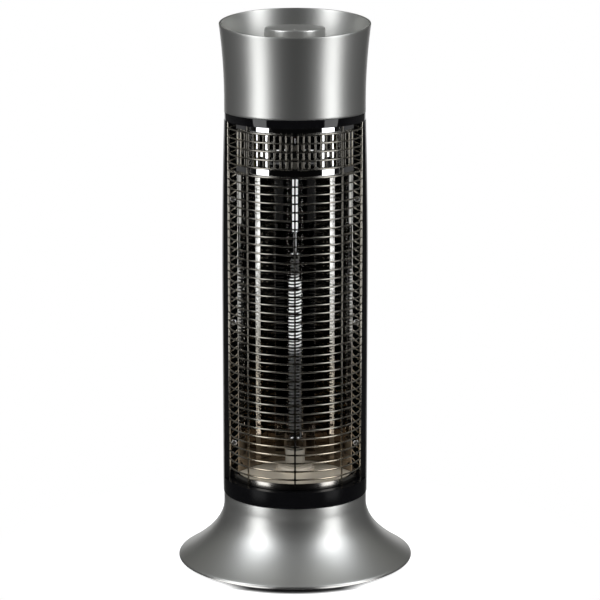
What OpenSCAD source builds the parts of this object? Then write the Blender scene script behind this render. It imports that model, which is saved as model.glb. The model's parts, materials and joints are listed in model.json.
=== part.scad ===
// Free-standing carbon heater on a round flared base.
// Millimetres. +Z is up and the front faces -Y. The origin is on the floor, on the column's own axis.

/* [Base] */
// Outer radius of the base at its rim
base_rim_r = 127; // [120:1:135]
// Step in from the skirt ring to the base's neck
neck_step = 0.7; // [0.3:0.1:1.2]
// Height of the seam between the base and the column
base_h = 77; // [74:1:84]
// Height above the floor at which the base's neck starts to flare
flare_top_z = 66.6; // [63:0.2:70]
// Wall of the base shell
base_wall = 2.5; // [2:0.1:3]
// Height of the feet below the base plate
foot_h = 2; // [1.5:0.1:3]
// Thickness of the base plate
plate_t = 2; // [1.5:0.1:2.5]
// How far the base plate's edge lies inside the rim
plate_inset = 5; // [4:0.5:7]
// How far the circle of the feet and plate screws lies inside the rim
foot_inset = 21; // [19:1:23]
// Height of the ballast ring
ballast_h = 6; // [4:0.5:8]

/* [Turning column] */
// Gap between the crank's disc and the rail that the column glides on
crank_gap = 3; // [2.5:0.5:4]
// Distance from the crank's axis to its pin
crank_pin_reach = 21.8; // [21:0.1:22]
// Radius of the crank pin
crank_pin_r = 2.5; // [2:0.1:3]
// Side play of the crank pin in its slot
slot_play = 2.4; // [2.3:0.1:2.6]
// Radius of the turntable's spigot
spigot_r = 8; // [7.5:0.1:8.5]
// Running clearance between shafts and their bores
run_gap = 0.05; // [0.03:0.01:0.08]
// Gap at the seam between base and column
seam_gap = 0.5; // [0.4:0.1:1]
// Thickness of the turntable
turntable_t = 3; // [2.5:0.1:4]

/* [Body] */
// Outer radius of the skirt ring and of the rear housing
body_r = 77.9; // [77.6:0.1:79]
// How far the body draws in from the skirt ring to the collar
top_draw_in = 3; // [2.6:0.1:3.4]
// Height of the skirt ring
skirt_h = 18; // [16:0.5:20]
// Height of the rear housing
housing_h = 389; // [380:1:400]
// Wall of the rear housing
housing_wall = 2.4; // [2:0.1:2.6]
// Height above the skirt at which the housing starts to draw in
draw_in_h = 205; // [180:5:230]
// Depth of the black rails beside the grille, in front of the column's axis
rail_front = 16; // [15.5:0.1:17]

/* [Heating chamber] */
// Height of the tray's top above the skirt ring
tray_h = 6; // [5:0.5:8]
// How far the tray's raised deck lies inside the body
tray_inset = 15.4; // [15:0.1:16]
// How far the tray's front lip lies inside the body
tray_lip_inset = 9.1; // [9:0.1:9.7]
// Height of the perforated hood
hood_h = 53; // [50:1:56]
// How far the hood lies inside the body
hood_inset = 8.7; // [8.6:0.1:9]
// Outer radius of the quartz tube
tube_r = 8.9; // [8.6:0.1:9.2]
// Wall of the quartz tube
tube_wall = 1.1; // [1:0.05:1.2]
// Turns of the carbon filament
coil_turns = 55; // [40:1:56]
// Rise of the filament in one turn
coil_pitch = 3.5; // [3.4:0.05:3.52]
// Radius of the filament's centreline
coil_r = 6; // [5.5:0.1:6.2]
// Radius of the filament's centreline in its narrow top turns
coil_neck_r = 3.9; // [3.6:0.1:4.2]
// Radius of the filament itself
coil_wire_r = 0.8; // [0.6:0.05:0.9]

/* [Grille] */
// How far the horizontal wires' centreline lies inside the body
grille_inset = 5.5; // [5.3:0.1:5.7]
// Half thickness of a grille wire
wire_r = 0.95; // [0.8:0.05:1]
// Height from one horizontal wire to the next
wire_pitch = 9; // [8.5:0.1:9.2]
// Number of horizontal wires
wire_count = 42; // [38:1:42]

/* [Collar and knob] */
// Height of the upper bezel
upper_bezel_h = 8.6; // [8:0.1:10]
// Height of the collar at its back
collar_h = 101; // [96:1:106]
// Wall of the collar
collar_wall = 2; // [1.8:0.1:2.4]
// Height above its bottom at which the collar starts to flare
collar_flare_start = 12.4; // [8:0.1:16]
// Radius of the arc that the collar flares along
collar_flare_arc = 610; // [580:5:660]
// Slope of the collar's rim, in degrees
rim_slope = 5.4; // [4.5:0.1:6]
// Height of the recess floor above the collar's bottom
recess_floor_h = 59.4; // [58:0.2:62]
// Radius of the knob
knob_r = 32.3; // [30:0.1:34]
// Height of the knob
knob_h = 26; // [24:0.5:28]

/* [Hidden] */
$fn = 96;
paint_silver = [0.62, 0.63, 0.62];
gloss_black = [0.03, 0.03, 0.03];
matte_black = [0.08, 0.08, 0.08];
polished = [0.85, 0.85, 0.86];
steel = [0.6, 0.6, 0.62];
ceramic_white = [0.9, 0.88, 0.83];
rubber_black = [0.05, 0.05, 0.05];
brass_yellow = [0.75, 0.6, 0.3];
nylon_white = [0.9, 0.9, 0.86];
carbon_grey = [0.2, 0.2, 0.21];
insulation = [0.75, 0.2, 0.15];

// Clearances that are not sizes of a piece
eps = 1;
hair = 0.1;
seat_gap = 0.3;
touch_play = 0.8;

// Radii that follow the outside of the body and of the base
neck_r = body_r - neck_step;
body_top_r = body_r - top_draw_in;
grille_r = body_r - grille_inset;
hood_r = body_r - hood_inset;
tray_r = body_r - tray_inset;
tray_lip_r = body_r - tray_lip_inset;
plate_r = base_rim_r - plate_inset;
foot_circle_r = base_rim_r - foot_inset;

// Screws
m3_r = 1.5;
m3_head_r = 2.75;
m3_head_h = 2;
low_head_h = 1.8;
m4_r = 2;
boss_r = 4;
countersink = 1.9;
recess_w = 0.3;
recess_deep = 1.6;
head_trim = 0.25;
boss_grip = 8;
quarter_angles = [45, 135, 225, 315];
third_angles = [30, 150, 270];

// Heights in the base
plate_top_z = foot_h + plate_t;
lip_flange_t = 2.5;
plate_boss_h = 30;
plate_screw_grip = 7;
foot_r = 9;
foot_taper = 0.6;
foot_barb = 1.4;
deck_t = 3;
deck_drop = 14;
deck_top_z = base_h - deck_drop;
deck_z = deck_top_z - deck_t;
rail_inset = 11.2;
rail_r = neck_r - rail_inset;
rail_w = 5;
rail_h = 11;
rail_top_z = deck_top_z + rail_h;
turntable_z = base_h + seam_gap;
turntable_top_z = turntable_z + turntable_t;

// Base outline
flare_steps = 14;
rim_edge_r = 2;
rim_edge_steps = 6;
lip_flange_w = 9;
lip_flange_r = base_rim_r - lip_flange_w;

// Bearing and drive
crank_disc_rim = 0.7;
crank_disc_r = crank_pin_reach + crank_pin_r + crank_disc_rim;
crank_offset = rail_r - crank_disc_r - crank_gap;
crank_hub_r = 6;
hub_room = 2;
bearing_plate_r = crank_offset - crank_hub_r - hub_room;
bearing_plate_t = 3;
bearing_hub_r = 12;
bearing_hub_h = 16;
bearing_hub_z = deck_top_z + bearing_plate_t - bearing_hub_h;
bearing_screw_inset = 6;
bearing_screw_circle = bearing_plate_r - bearing_screw_inset;
washer_t = 1.5;
circlip_t = 1.2;
circlip_r = 10.5;
circlip_mouth = 6;
groove_r = spigot_r - 1;
spigot_bore_r = 5.5;
spigot_tail = 2.5;
spigot_end_z = bearing_hub_z - washer_t - circlip_t - spigot_tail;
motor_gap = 1;
motor_r = crank_offset - bearing_hub_r - motor_gap;
motor_h = 17.5;
ear_t = 2.5;
ear_w = 14;
ear_screw_out = 6;
ear_reach = motor_r + ear_screw_out;
motor_shaft_r = 3;
shaft_depth = 8;
crank_disc_t = 3;
yoke_t = 4.7;
yoke_z = turntable_z - yoke_t;
crank_disc_z = yoke_z - touch_play - crank_disc_t;
crank_pin_top_z = turntable_z - touch_play;
yoke_root_r = 20;
yoke_half_w = 8.6;
yoke_screw_x = 14;
slot_half_w = crank_pin_r + slot_play;
slot_start = 5;
slot_inner = crank_offset - slot_start;
slot_outer = crank_offset + crank_pin_reach + crank_pin_r + touch_play;
yoke_tip = 1.7;
yoke_reach = slot_outer + yoke_tip;

// Tip-over switch
tip_y = -40;
plunger_r = 3;
plunger_gap = 0.3;
plunger_travel = 4;
plunger_collar_r = 5;
plunger_collar_t = 2;
plunger_foot_z = 0.3;
plunger_room = 13;
tip_screw_grip = 6;
tip_box = [26, 18, 18];
tip_leg = [6, 12];
tip_stand_h = 9;
tip_z = plate_top_z + tip_stand_h;
tip_top_z = tip_z + tip_box[2];
plunger_in_box = 9;
plunger_top_z = tip_z + plunger_in_box;

// Cord gland in the back of the base
gland_r = 6;
gland_bore_r = 3.5;
gland_z = 14;
gland_len = 22;
gland_inset = 28;
gland_y = base_rim_r - gland_inset;

// Terminal block
block_size = [14, 30, 12];
block_at = [-38, 8];
block_pitch = 9;
block_hole_r = 2;

// Skirt and its ledge
skirt_top_z = base_h + skirt_h;
skirt_wall = 2.5;
skirt_edge_r = 1.5;
ledge_t = 2.5;
ledge_inset = 19.9;
ledge_r = body_r - ledge_inset;
ledge_z = skirt_top_z - ledge_t;
skirt_screw_inset = 9.9;
skirt_screw_circle = body_r - skirt_screw_inset;
housing_boss_inset = 5.9;
housing_boss_circle = body_r - housing_boss_inset;
housing_boss_h = 14;
housing_boss_angles = [20, 90, 160];

// Rear housing
housing_top_z = skirt_top_z + housing_h;
draw_in_z = skirt_top_z + draw_in_h;
draw_steps = 8;
side_rail_w = 15.9;
rail_inner_x = body_r - side_rail_w;
rail_flange_t = 2.5;
grille_side_gap = 0.45;
reflector_t = 1.2;
reflector_flange_y = 14;
rail_flange_y = reflector_flange_y - reflector_t;
vent_count = 9;
vent_pitch = 9;
vent_size = [56, 4];
vent_margin = [30, 39];
vent_bank_z = [skirt_top_z + vent_margin[0], housing_top_z - vent_margin[1] - vent_count * vent_pitch];

// Reflector: creases from the side flange to the middle of its back, each by how far it lies inside the first
crease_gap = 1;
chamber_half_w = rail_inner_x - crease_gap;
crease_places = [[0, -reflector_flange_y], [10, 0], [18.5, 11], [23.5, 14], [30, 20.5], [35, 25], [39.5, 29],
    [49, 31.5]];
creases = [for (p = crease_places) [chamber_half_w - p[0], p[1]]];
reflector_screw_in = 5;
reflector_screw_x = chamber_half_w + reflector_screw_in;
reflector_head_r = 3.2;
reflector_screw_h = [38.5, 172, 305.5];

// Tray
tray_sheet = 1;
tray_top_z = skirt_top_z + tray_h;
tray_lip_h = 7.5;
tray_back_y = 14;
tray_slot = [20, 4];
tray_slot_at = [31, -4];
tray_screw_angle = 58;
tray_screw_circle = (tray_r + tray_lip_r - tray_sheet) / 2;
tray_lead_hole_r = 6;

// Tube and filament
bracket_r = 21;
bracket_h = 4;
bracket_step = 1.5;
cap_r = 10.5;
lower_cap_h = 18;
upper_cap_h = 24;
cap_floor = 1.5;
bracket_top_z = tray_top_z + bracket_h;
lower_cap_top_z = bracket_top_z + lower_cap_h;
ceiling_t = 1.2;
ceiling_z = housing_top_z - hood_h;
ceiling_top_z = ceiling_z + ceiling_t;
hood_wall = 0.8;
ceiling_gap = 0.4;
ceiling_r = hood_r - hood_wall - ceiling_gap;
upper_cap_top_z = ceiling_top_z + upper_cap_h;
tube_z = bracket_top_z + cap_floor;
tube_top_room = 4;
tube_top_z = upper_cap_top_z - tube_top_room;
rod_r = 1.2;
neck_rod_r = 1.9;
sleeve_r = 3.1;
sleeve_len = 68;
sleeve_z = ceiling_z - sleeve_len;
terminal_r = 5.5;
terminal_gap = 0.5;
terminal_t = 3;
coil_bend_r = 2;
coil_tail = coil_bend_r + 2 * coil_wire_r;
coil_start_h = 36;
coil_z = bracket_top_z + coil_start_h;
coil_top_z = coil_z + coil_turns * coil_pitch;
rod_spare = 7;

// Standoffs that hang the ceiling from the upper bezel, each by its angle and how far it lies inside the edge
standoff_r = 3.5;
standoff_angles = [33.7, 146.3, 90];
standoff_insets = [13.9, 13.9, 8];
standoffs_at = [for (i = [0 : 2])
    (ceiling_r - standoff_insets[i]) * [cos(standoff_angles[i]), sin(standoff_angles[i])]];
standoff_screw_len = 8;

// Wires
lead_r = 2;
lead_sides = 10;
lead_y = 44;
lead_hole_r = 4;
switch_lead_y = 8;

// Hood
hood_spare_w = 0.5;
hood_half_w = chamber_half_w + hood_spare_w;
hood_back_y = 23;
hood_flange_t = 1;
hood_flange_w = 7;
hood_slot_w = 5;
hood_slot_step = 7.5;
hood_slots = 7;
hood_slot_rows = [[10, 12], [29, 16]];
hood_screw_angle = 30;
hood_screw_inset = 4.2;
hood_screw_circle = hood_r - hood_screw_inset;

// Grille
grille_side_x = sqrt(grille_r * grille_r - rail_front * rail_front);
rail_groove_x = grille_side_x + wire_r + grille_side_gap;
flange_gap = 1.5;
reflector_flange_x = rail_groove_x - flange_gap;
weld = 0.25;
wire_end_y = rail_front + 2 * hair;
upright_r = grille_r - 2 * wire_r + weld;
first_wire_h = 13;
first_wire_z = skirt_top_z + first_wire_h;
upright_angle = 44.6;
short_uprights = 12;
short_step = 5;
wire_socket_gap = 0.2;

// Upper bezel and what stands on it
bezel_deck_t = 3;
bezel_wall = 2.5;
bezel_deck_w = 24.9;
bezel_hole_r = body_top_r - bezel_deck_w;
bezel_deck_top_z = housing_top_z + bezel_deck_t;
collar_z = housing_top_z + upper_bezel_h;
top_boss_angles = [28, 90, 152];
top_boss_inset = 5.9;
top_boss_circle = body_top_r - top_boss_inset;
collar_boss_angles = [8, 58, 122, 172];
collar_boss_inset = 5.5;
collar_boss_circle = body_top_r - collar_boss_inset;
collar_boss_h = 14;
shield_overlap = 8;
shield_r = bezel_hole_r + shield_overlap;
shield_t = 1;
shield_screw_circle = bezel_hole_r + shield_overlap / 2;
shield_angles = [0, 180, 270];
socket_floor = 1;
grille_top_z = bezel_deck_top_z - socket_floor;

// Collar
collar_top_z = collar_z + collar_h;
collar_steps = 16;
flare_z = collar_z + collar_flare_start;
panel_top_z = collar_z + recess_floor_h;
panel_t = 3;
panel_ledge_w = 5;
panel_ledge_t = 3;
panel_z = panel_top_z - panel_t;
panel_screw_inset = 3.5;

// Knob and switch
knob_gap = 3;
knob_z = panel_top_z + knob_gap;
knob_top_z = knob_z + knob_h;
knob_edge_r = 2;
knob_edge_steps = 5;
knob_wall = 2.5;
knob_boss_r = 7;
knob_boss_drop = 16;
knob_cover = 7;
pointer_size = [1.6, 12, 0.6];
switch_size = [38, 34, 20];
bushing_r = 5;
bushing_h = 9;
nut_r = 8;
nut_h = 2.5;
shaft_r = 3;
shaft_flat = 2.2;
shaft_sink = 6;
shaft_top_z = knob_top_z - knob_cover;
flat_z = panel_top_z + bushing_h + 1;

// Shared shapes

module around(angles, r) {
    for (a = angles) rotate([0, 0, a]) translate([r, 0, 0]) children();
}

module tube(r, inner_r, h) {
    difference() {
        cylinder(r = r, h = h);
        translate([0, 0, -eps]) cylinder(r = inner_r, h = h + 2 * eps);
    }
}

// A pan-head screw whose head sits on z = 0 and whose shank points down
module screw(r, head_r, head_h, length) {
    difference() {
        union() {
            cylinder(r = head_r, h = head_h, $fn = 32);
            translate([0, 0, -length]) cylinder(r = r, h = length + head_h / 2, $fn = 32);
        }
        translate([0, 0, head_h]) cross_recess(head_r);
    }
}

module cross_recess(head_r) {
    for (a = [0, 90]) rotate([0, 0, a])
        cube([4 * recess_w * head_r, recess_w * head_r, recess_deep], center = true);
}

// A countersunk screw whose flat head is flush with z = 0 and whose shank points up
module flush_screw(r, length) {
    difference() {
        union() {
            cylinder(r1 = countersink * r, r2 = r, h = r, $fn = 32);
            cylinder(r = r, h = length, $fn = 32);
        }
        cross_recess(1.5 * r);
    }
}

module flush_hole(r, length) {
    translate([0, 0, -hair]) cylinder(r1 = countersink * r + 2 * hair, r2 = r + hair, h = r + hair, $fn = 32);
    translate([0, 0, -eps]) cylinder(r = r + hair / 2, h = length + eps, $fn = 32);
}

// A tube swept along a path: one ring of points for each point of the path
function unit(v) = v / norm(v);
function tangent(path, k) = unit(path[min(k + 1, len(path) - 1)] - path[max(k - 1, 0)]);
function ring(path, k, outward, r, sides) =
    let (
        t = tangent(path, k),
        n = unit(outward - (outward * t) * t),
        b = cross(t, n)
    )
    [for (j = [0 : sides - 1]) path[k] + r * (cos(360 * j / sides) * n + sin(360 * j / sides) * b)];
function sweep_faces(last, sides) =
    let (v = function (k, j) k * sides + j % sides)
    concat(
        [for (k = [0 : last - 1]) for (j = [0 : sides - 1])
            each [[v(k, j), v(k + 1, j), v(k + 1, j + 1)], [v(k, j), v(k + 1, j + 1), v(k, j + 1)]]],
        [for (j = [1 : sides - 2]) each [[0, j, j + 1], [v(last, 0), v(last, j + 1), v(last, j)]]]
    );

// A route's corners, each cut by a short curve
function rounded(points, cut) = concat(
    [points[0]],
    [for (i = [1 : len(points) - 2])
        let (
            p = points[i],
            before = p - cut * unit(p - points[i - 1]),
            after = p + cut * unit(points[i + 1] - p)
        )
        each [before, (before + 2 * p + after) / 4, after]],
    [points[len(points) - 1]]
);

// An insulated wire along a route; side is any direction that no run of the route points along
module lead(points, r, side) {
    path = rounded(points, 2 * r);
    last = len(path) - 1;
    polyhedron(
        points = [for (k = [0 : last]) each ring(path, k, side, r, lead_sides)],
        faces = sweep_faces(last, lead_sides)
    );
}

// Base

rim_centre = [base_rim_r - rim_edge_r, plate_top_z + rim_edge_r];
function rim_point(a) = rim_centre + rim_edge_r * [cos(a), sin(a)];
function rim_turn(a, tries) = tries == 0 ? a :
    rim_turn(atan2(2 * (rim_point(a)[0] - neck_r), flare_top_z - rim_point(a)[1]), tries - 1);
rim_first_guess = 60;
rim_start_angle = rim_turn(rim_first_guess, 5);
flare_end = rim_point(rim_start_angle);
flare_rate = (flare_end[0] - neck_r) / pow(flare_top_z - flare_end[1], 2);
function flare_point(z) = [neck_r + flare_rate * pow(flare_top_z - z, 2), z];
function flare_normal(z) = let (n = [1, 2 * flare_rate * (flare_top_z - z)]) n / norm(n);
function flare_step_z(i, low) = flare_top_z + (low - flare_top_z) * i / flare_steps;
function flare_inner(z) = flare_point(z) - base_wall * flare_normal(z);
flange_top_z = plate_top_z + lip_flange_t;
hollow_end_z = flange_top_z + base_wall * flare_normal(flange_top_z + base_wall)[1];

module base_outer() {
    rotate_extrude() polygon(concat(
        [[0, plate_top_z], [0, base_h], [neck_r, base_h]],
        [for (i = [0 : flare_steps - 1]) flare_point(flare_step_z(i, flare_end[1]))],
        [for (i = [0 : rim_edge_steps])
            rim_point(rim_start_angle - (rim_start_angle + 90) * i / rim_edge_steps)]
    ));
}

module base_hollow() {
    rotate_extrude() polygon(concat(
        [[0, 0], [0, base_h + eps], [neck_r - base_wall, base_h + eps]],
        [for (i = [0 : flare_steps - 1]) flare_inner(flare_step_z(i, hollow_end_z))],
        [[flare_inner(hollow_end_z)[0], flange_top_z], [lip_flange_r, flange_top_z], [lip_flange_r, 0]]
    ));
}

plate_screw_angles = [20, 160, 200, 340];

module gland_place() {
    translate([0, gland_y, gland_z]) rotate([-90, 0, 0]) children();
}

module base_shell() color(paint_silver) difference() {
    base_outer();
    difference() {
        base_hollow();
        translate([0, 0, deck_z]) cylinder(r = base_rim_r, h = deck_t);
        translate([0, 0, deck_z]) tube(rail_r + rail_w, rail_r, deck_t + rail_h);
        translate([0, 0, plate_top_z]) around(plate_screw_angles, foot_circle_r)
            cylinder(r = boss_r, h = plate_boss_h);
    }
    translate([0, 0, deck_z - eps]) cylinder(r = bearing_hub_r + hair, h = deck_t + 2 * eps);
    translate([0, crank_offset, deck_z - eps]) cylinder(r = crank_hub_r + eps, h = deck_t + 2 * eps);
    translate([0, 0, deck_z - eps]) around(quarter_angles, bearing_screw_circle)
        cylinder(r = m3_r + hair / 2, h = deck_t + 2 * eps, $fn = 32);
    for (s = [-1, 1]) translate([s * ear_reach, crank_offset, deck_z - eps])
        cylinder(r = m3_r + hair / 2, h = deck_t + 2 * eps, $fn = 32);
    around(plate_screw_angles, foot_circle_r)
        cylinder(r = m4_r + hair / 2, h = plate_top_z + plate_screw_grip + eps, $fn = 32);
    gland_place() cylinder(r = gland_r + hair / 2, h = 2 * gland_len);
}

module base_plate() color(matte_black) difference() {
    translate([0, 0, foot_h]) cylinder(r = plate_r, h = plate_t);
    around(plate_screw_angles, foot_circle_r) translate([0, 0, foot_h]) flush_hole(m4_r, plate_t + eps);
    around(quarter_angles, foot_circle_r) cylinder(r = m4_r + hair, h = plate_top_z + eps);
    translate([0, tip_y, 0]) cylinder(r = plunger_r + plunger_gap, h = plate_top_z + eps);
    tip_legs_at() translate([0, 0, foot_h]) flush_hole(m3_r, plate_t + eps);
}

// A round foot, its neck in the plate and the barb that holds it there
module feet() color(rubber_black) around(quarter_angles, foot_circle_r) {
    cylinder(r1 = foot_r - foot_taper, r2 = foot_r, h = foot_h);
    cylinder(r = m4_r, h = plate_top_z + foot_h);
    translate([0, 0, plate_top_z]) cylinder(r1 = m4_r + foot_barb, r2 = m4_r, h = foot_h);
}

module base_plate_screws() color(steel) around(plate_screw_angles, foot_circle_r)
    translate([0, 0, foot_h]) flush_screw(m4_r, plate_t + plate_screw_grip);

ballast_gap = 1;
ballast_w = 36;
ballast_r = gland_y - ballast_gap;
ballast_inner_r = ballast_r - ballast_w;

module ballast_ring() color(matte_black) translate([0, 0, plate_top_z])
    tube(ballast_r, ballast_inner_r, ballast_h);

module bearing_plate() color(steel) difference() {
    union() {
        translate([0, 0, deck_top_z]) cylinder(r = bearing_plate_r, h = bearing_plate_t);
        translate([0, 0, bearing_hub_z]) cylinder(r = bearing_hub_r, h = bearing_hub_h);
    }
    translate([0, 0, bearing_hub_z - eps]) cylinder(r = spigot_r + run_gap, h = bearing_hub_h + 2 * eps);
    translate([0, 0, deck_top_z - eps]) around(quarter_angles, bearing_screw_circle)
        cylinder(r = m3_r + hair, h = bearing_plate_t + 2 * eps, $fn = 32);
}

module bearing_plate_screws() color(steel)
    translate([0, 0, deck_top_z + bearing_plate_t]) around(quarter_angles, bearing_screw_circle)
        screw(m3_r, m3_head_r, m3_head_h, bearing_plate_t + deck_t);

module glide_ring() color(nylon_white) translate([0, 0, rail_top_z])
    tube(rail_r + rail_w, rail_r, turntable_z - rail_top_z - seat_gap);

module oscillation_motor() color(steel) translate([0, crank_offset, 0]) difference() {
    union() {
        translate([0, 0, deck_z - ear_t - motor_h]) cylinder(r = motor_r, h = motor_h);
        translate([-ear_reach - ear_w / 2, -ear_w / 2, deck_z - ear_t])
            cube([2 * ear_reach + ear_w, ear_w, ear_t]);
    }
    translate([0, 0, deck_z - ear_t - shaft_depth]) cylinder(r = motor_shaft_r + run_gap, h = 2 * shaft_depth);
    for (s = [-1, 1]) translate([s * ear_reach, 0, deck_z - ear_t - eps])
        cylinder(r = m3_r + hair, h = ear_t + 2 * eps, $fn = 32);
}

module motor_screws() color(steel)
    for (s = [-1, 1]) translate([s * ear_reach, crank_offset, deck_z - ear_t]) mirror([0, 0, 1])
        screw(m3_r, m3_head_r, m3_head_h, ear_t + deck_t);

module tip_legs_at() {
    for (s = [-1, 1]) translate([s * (tip_box[0] - tip_leg[0]) / 2, tip_y, 0]) children();
}

module tip_switch() color(matte_black) difference() {
    union() {
        translate([-tip_box[0] / 2, tip_y - tip_box[1] / 2, tip_z]) cube(tip_box);
        tip_legs_at() translate([-tip_leg[0] / 2, -tip_leg[1] / 2, plate_top_z])
            cube([tip_leg[0], tip_leg[1], tip_stand_h + eps]);
    }
    translate([0, tip_y, tip_z - eps]) cylinder(r = plunger_r + plunger_gap, h = plunger_room);
    tip_legs_at() translate([0, 0, plate_top_z - eps])
        cylinder(r = m3_r + hair / 2, h = tip_screw_grip + 2 * eps, $fn = 32);
}

module tip_switch_screws() color(steel) tip_legs_at() translate([0, 0, foot_h])
    flush_screw(m3_r, plate_t + tip_screw_grip);

module cord_gland() color(rubber_black) gland_place() tube(gland_r, gland_bore_r, gland_len);

module terminal_block() color(nylon_white)
    translate([block_at[0] - block_size[0] / 2, block_at[1] - block_size[1] / 2, plate_top_z]) difference() {
        cube(block_size);
        for (k = [-1 : 1]) translate(block_size / 2 + [0, k * block_pitch, 0])
            cylinder(r = block_hole_r, h = block_size[2], $fn = 32);
    }

// A lead from hole k of the block: straight up by rise, then along the rest of its route
module base_lead(k, rise, rest)
    let (foot = [block_at[0], block_at[1] + k * block_pitch, plate_top_z + block_size[2]])
    lead(concat([foot, foot + [0, 0, rise]], rest), lead_r, [0.2, 1, 0.1]);

module base_wires() color(insulation) {
    motor_low_z = deck_z - ear_t - motor_h;
    base_lead(0, 9, [[-12, 0, spigot_end_z - 12], [0, 0, spigot_end_z - 6], [0, 0, spigot_end_z - 0.5]]);
    base_lead(1, 6, [[-14, crank_offset, motor_low_z - 6], [-14, crank_offset, motor_low_z]]);
    base_lead(-1, 14, [[-8, tip_y, tip_top_z + 8], [-8, tip_y, tip_top_z]]);
}

// Crank and plunger

module crank_disc() color(nylon_white) translate([0, crank_offset, 0]) difference() {
    union() {
        translate([0, 0, crank_disc_z]) cylinder(r = crank_disc_r, h = crank_disc_t);
        translate([0, 0, deck_z + eps]) cylinder(r = crank_hub_r, h = crank_disc_z - deck_z - eps + hair);
        translate([0, crank_pin_reach, crank_disc_z])
            cylinder(r = crank_pin_r, h = crank_pin_top_z - crank_disc_z);
    }
    cylinder(r = motor_shaft_r, h = turntable_z);
}

module motor_shaft() color(steel) translate([0, crank_offset, deck_z - ear_t - shaft_depth])
    cylinder(r = motor_shaft_r, h = crank_disc_z + crank_disc_t - deck_z + ear_t + shaft_depth);

module tip_plunger() color(nylon_white) translate([0, tip_y, 0]) {
    translate([0, 0, plunger_foot_z]) cylinder(r = plunger_r, h = plunger_top_z - plunger_foot_z);
    translate([0, 0, plate_top_z + plunger_travel + plunger_gap])
        cylinder(r = plunger_collar_r, h = plunger_collar_t);
}

// Turntable and drive

module turntable() color(steel) difference() {
    union() {
        translate([0, 0, turntable_z]) cylinder(r = body_r - skirt_wall - seat_gap, h = turntable_t);
        translate([0, 0, spigot_end_z]) cylinder(r = spigot_r, h = turntable_z - spigot_end_z + eps);
    }
    translate([0, 0, spigot_end_z - eps])
        cylinder(r = spigot_bore_r, h = turntable_top_z - spigot_end_z + 2 * eps);
    translate([0, 0, bearing_hub_z - washer_t - circlip_t]) tube(spigot_r + eps, groove_r, circlip_t);
    around(quarter_angles, skirt_screw_circle) translate([0, 0, turntable_z])
        flush_hole(m3_r, turntable_t + eps);
    for (s = [-1, 1]) translate([s * yoke_screw_x, 0, turntable_z - eps])
        cylinder(r = m3_r + hair / 2, h = turntable_t + 2 * eps, $fn = 32);
}

module skirt_screws() color(steel) around(quarter_angles, skirt_screw_circle)
    translate([0, 0, turntable_z]) flush_screw(m3_r, turntable_t + boss_grip);

module thrust_washer() color(brass_yellow) translate([0, 0, bearing_hub_z - washer_t])
    tube(bearing_hub_r - 0.5, spigot_r + hair, washer_t - hair);

// A retaining ring, open at the front
module circlip() color(steel) translate([0, 0, bearing_hub_z - washer_t - circlip_t]) difference() {
    tube(circlip_r, groove_r + hair / 2, circlip_t);
    translate([-circlip_mouth / 2, -circlip_r - eps, -eps])
            cube([circlip_mouth, circlip_r + eps, circlip_t + 2 * eps]);
}

module drive_yoke() color(steel) translate([0, 0, yoke_z]) difference() {
    union() {
        cylinder(r = yoke_root_r, h = yoke_t);
        translate([-yoke_half_w, 0, 0]) cube([2 * yoke_half_w, yoke_reach, yoke_t]);
    }
    translate([0, 0, -eps]) cylinder(r = spigot_r + seat_gap, h = yoke_t + 2 * eps);
    translate([-slot_half_w, slot_inner, -eps])
        cube([2 * slot_half_w, slot_outer - slot_inner, yoke_t + 2 * eps]);
    for (s = [-1, 1]) translate([s * yoke_screw_x, 0, 0]) flush_hole(m3_r, yoke_t + eps);
}

module yoke_screws() color(steel) for (s = [-1, 1]) translate([s * yoke_screw_x, 0, yoke_z])
    flush_screw(m3_r, yoke_t + turntable_t);

// Skirt ring with the ledge that the chamber stands on

module lower_bezel() color(gloss_black) difference() {
    union() {
        rotate_extrude() polygon(concat(
            [[body_r - skirt_wall, turntable_z]],
            [for (a = [-90 : 30 : 0])
                [body_r - skirt_edge_r, turntable_z + skirt_edge_r] + skirt_edge_r * [cos(a), sin(a)]],
            [[body_r, skirt_top_z], [ledge_r, skirt_top_z], [ledge_r, ledge_z], [body_r - skirt_wall, ledge_z]]
        ));
        around(quarter_angles, skirt_screw_circle) translate([0, 0, turntable_top_z])
            cylinder(r = boss_r, h = ledge_z - turntable_top_z + ledge_t / 2);
    }
    around(quarter_angles, skirt_screw_circle) translate([0, 0, turntable_top_z - eps])
        cylinder(r = m3_r + hair / 2, h = boss_grip + 2 * eps, $fn = 32);
    translate([0, 0, ledge_z - eps]) around(housing_boss_angles, housing_boss_circle)
        cylinder(r = m3_r + hair, h = ledge_t + 2 * eps, $fn = 32);
    translate([0, 0, ledge_z - eps]) {
        tray_screws_at() cylinder(r = m3_r + hair / 2, h = ledge_t + 2 * eps, $fn = 32);
        uprights_at() cylinder(r = wire_r + wire_socket_gap, h = ledge_t + 2 * eps, $fn = 24);
    }
}

// Rear housing

draw_in_arc = (housing_h - draw_in_h + upper_bezel_h) * (housing_h - draw_in_h + upper_bezel_h)
    / (2 * (body_r - body_top_r));
function housing_r(z) = body_r - pow(max(0, z - draw_in_z), 2) / (2 * draw_in_arc);
function housing_z(i) = draw_in_z + (housing_top_z - draw_in_z) * i / draw_steps;

module housing_solid(inset, spare) {
    rotate_extrude() polygon(concat(
        [[0, skirt_top_z - spare], [body_r - inset, skirt_top_z - spare]],
        [for (i = [0 : draw_steps]) [housing_r(housing_z(i)) - inset, housing_z(i)]],
        [[housing_r(housing_top_z) - inset, housing_top_z + spare], [0, housing_top_z + spare]]
    ));
}

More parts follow.
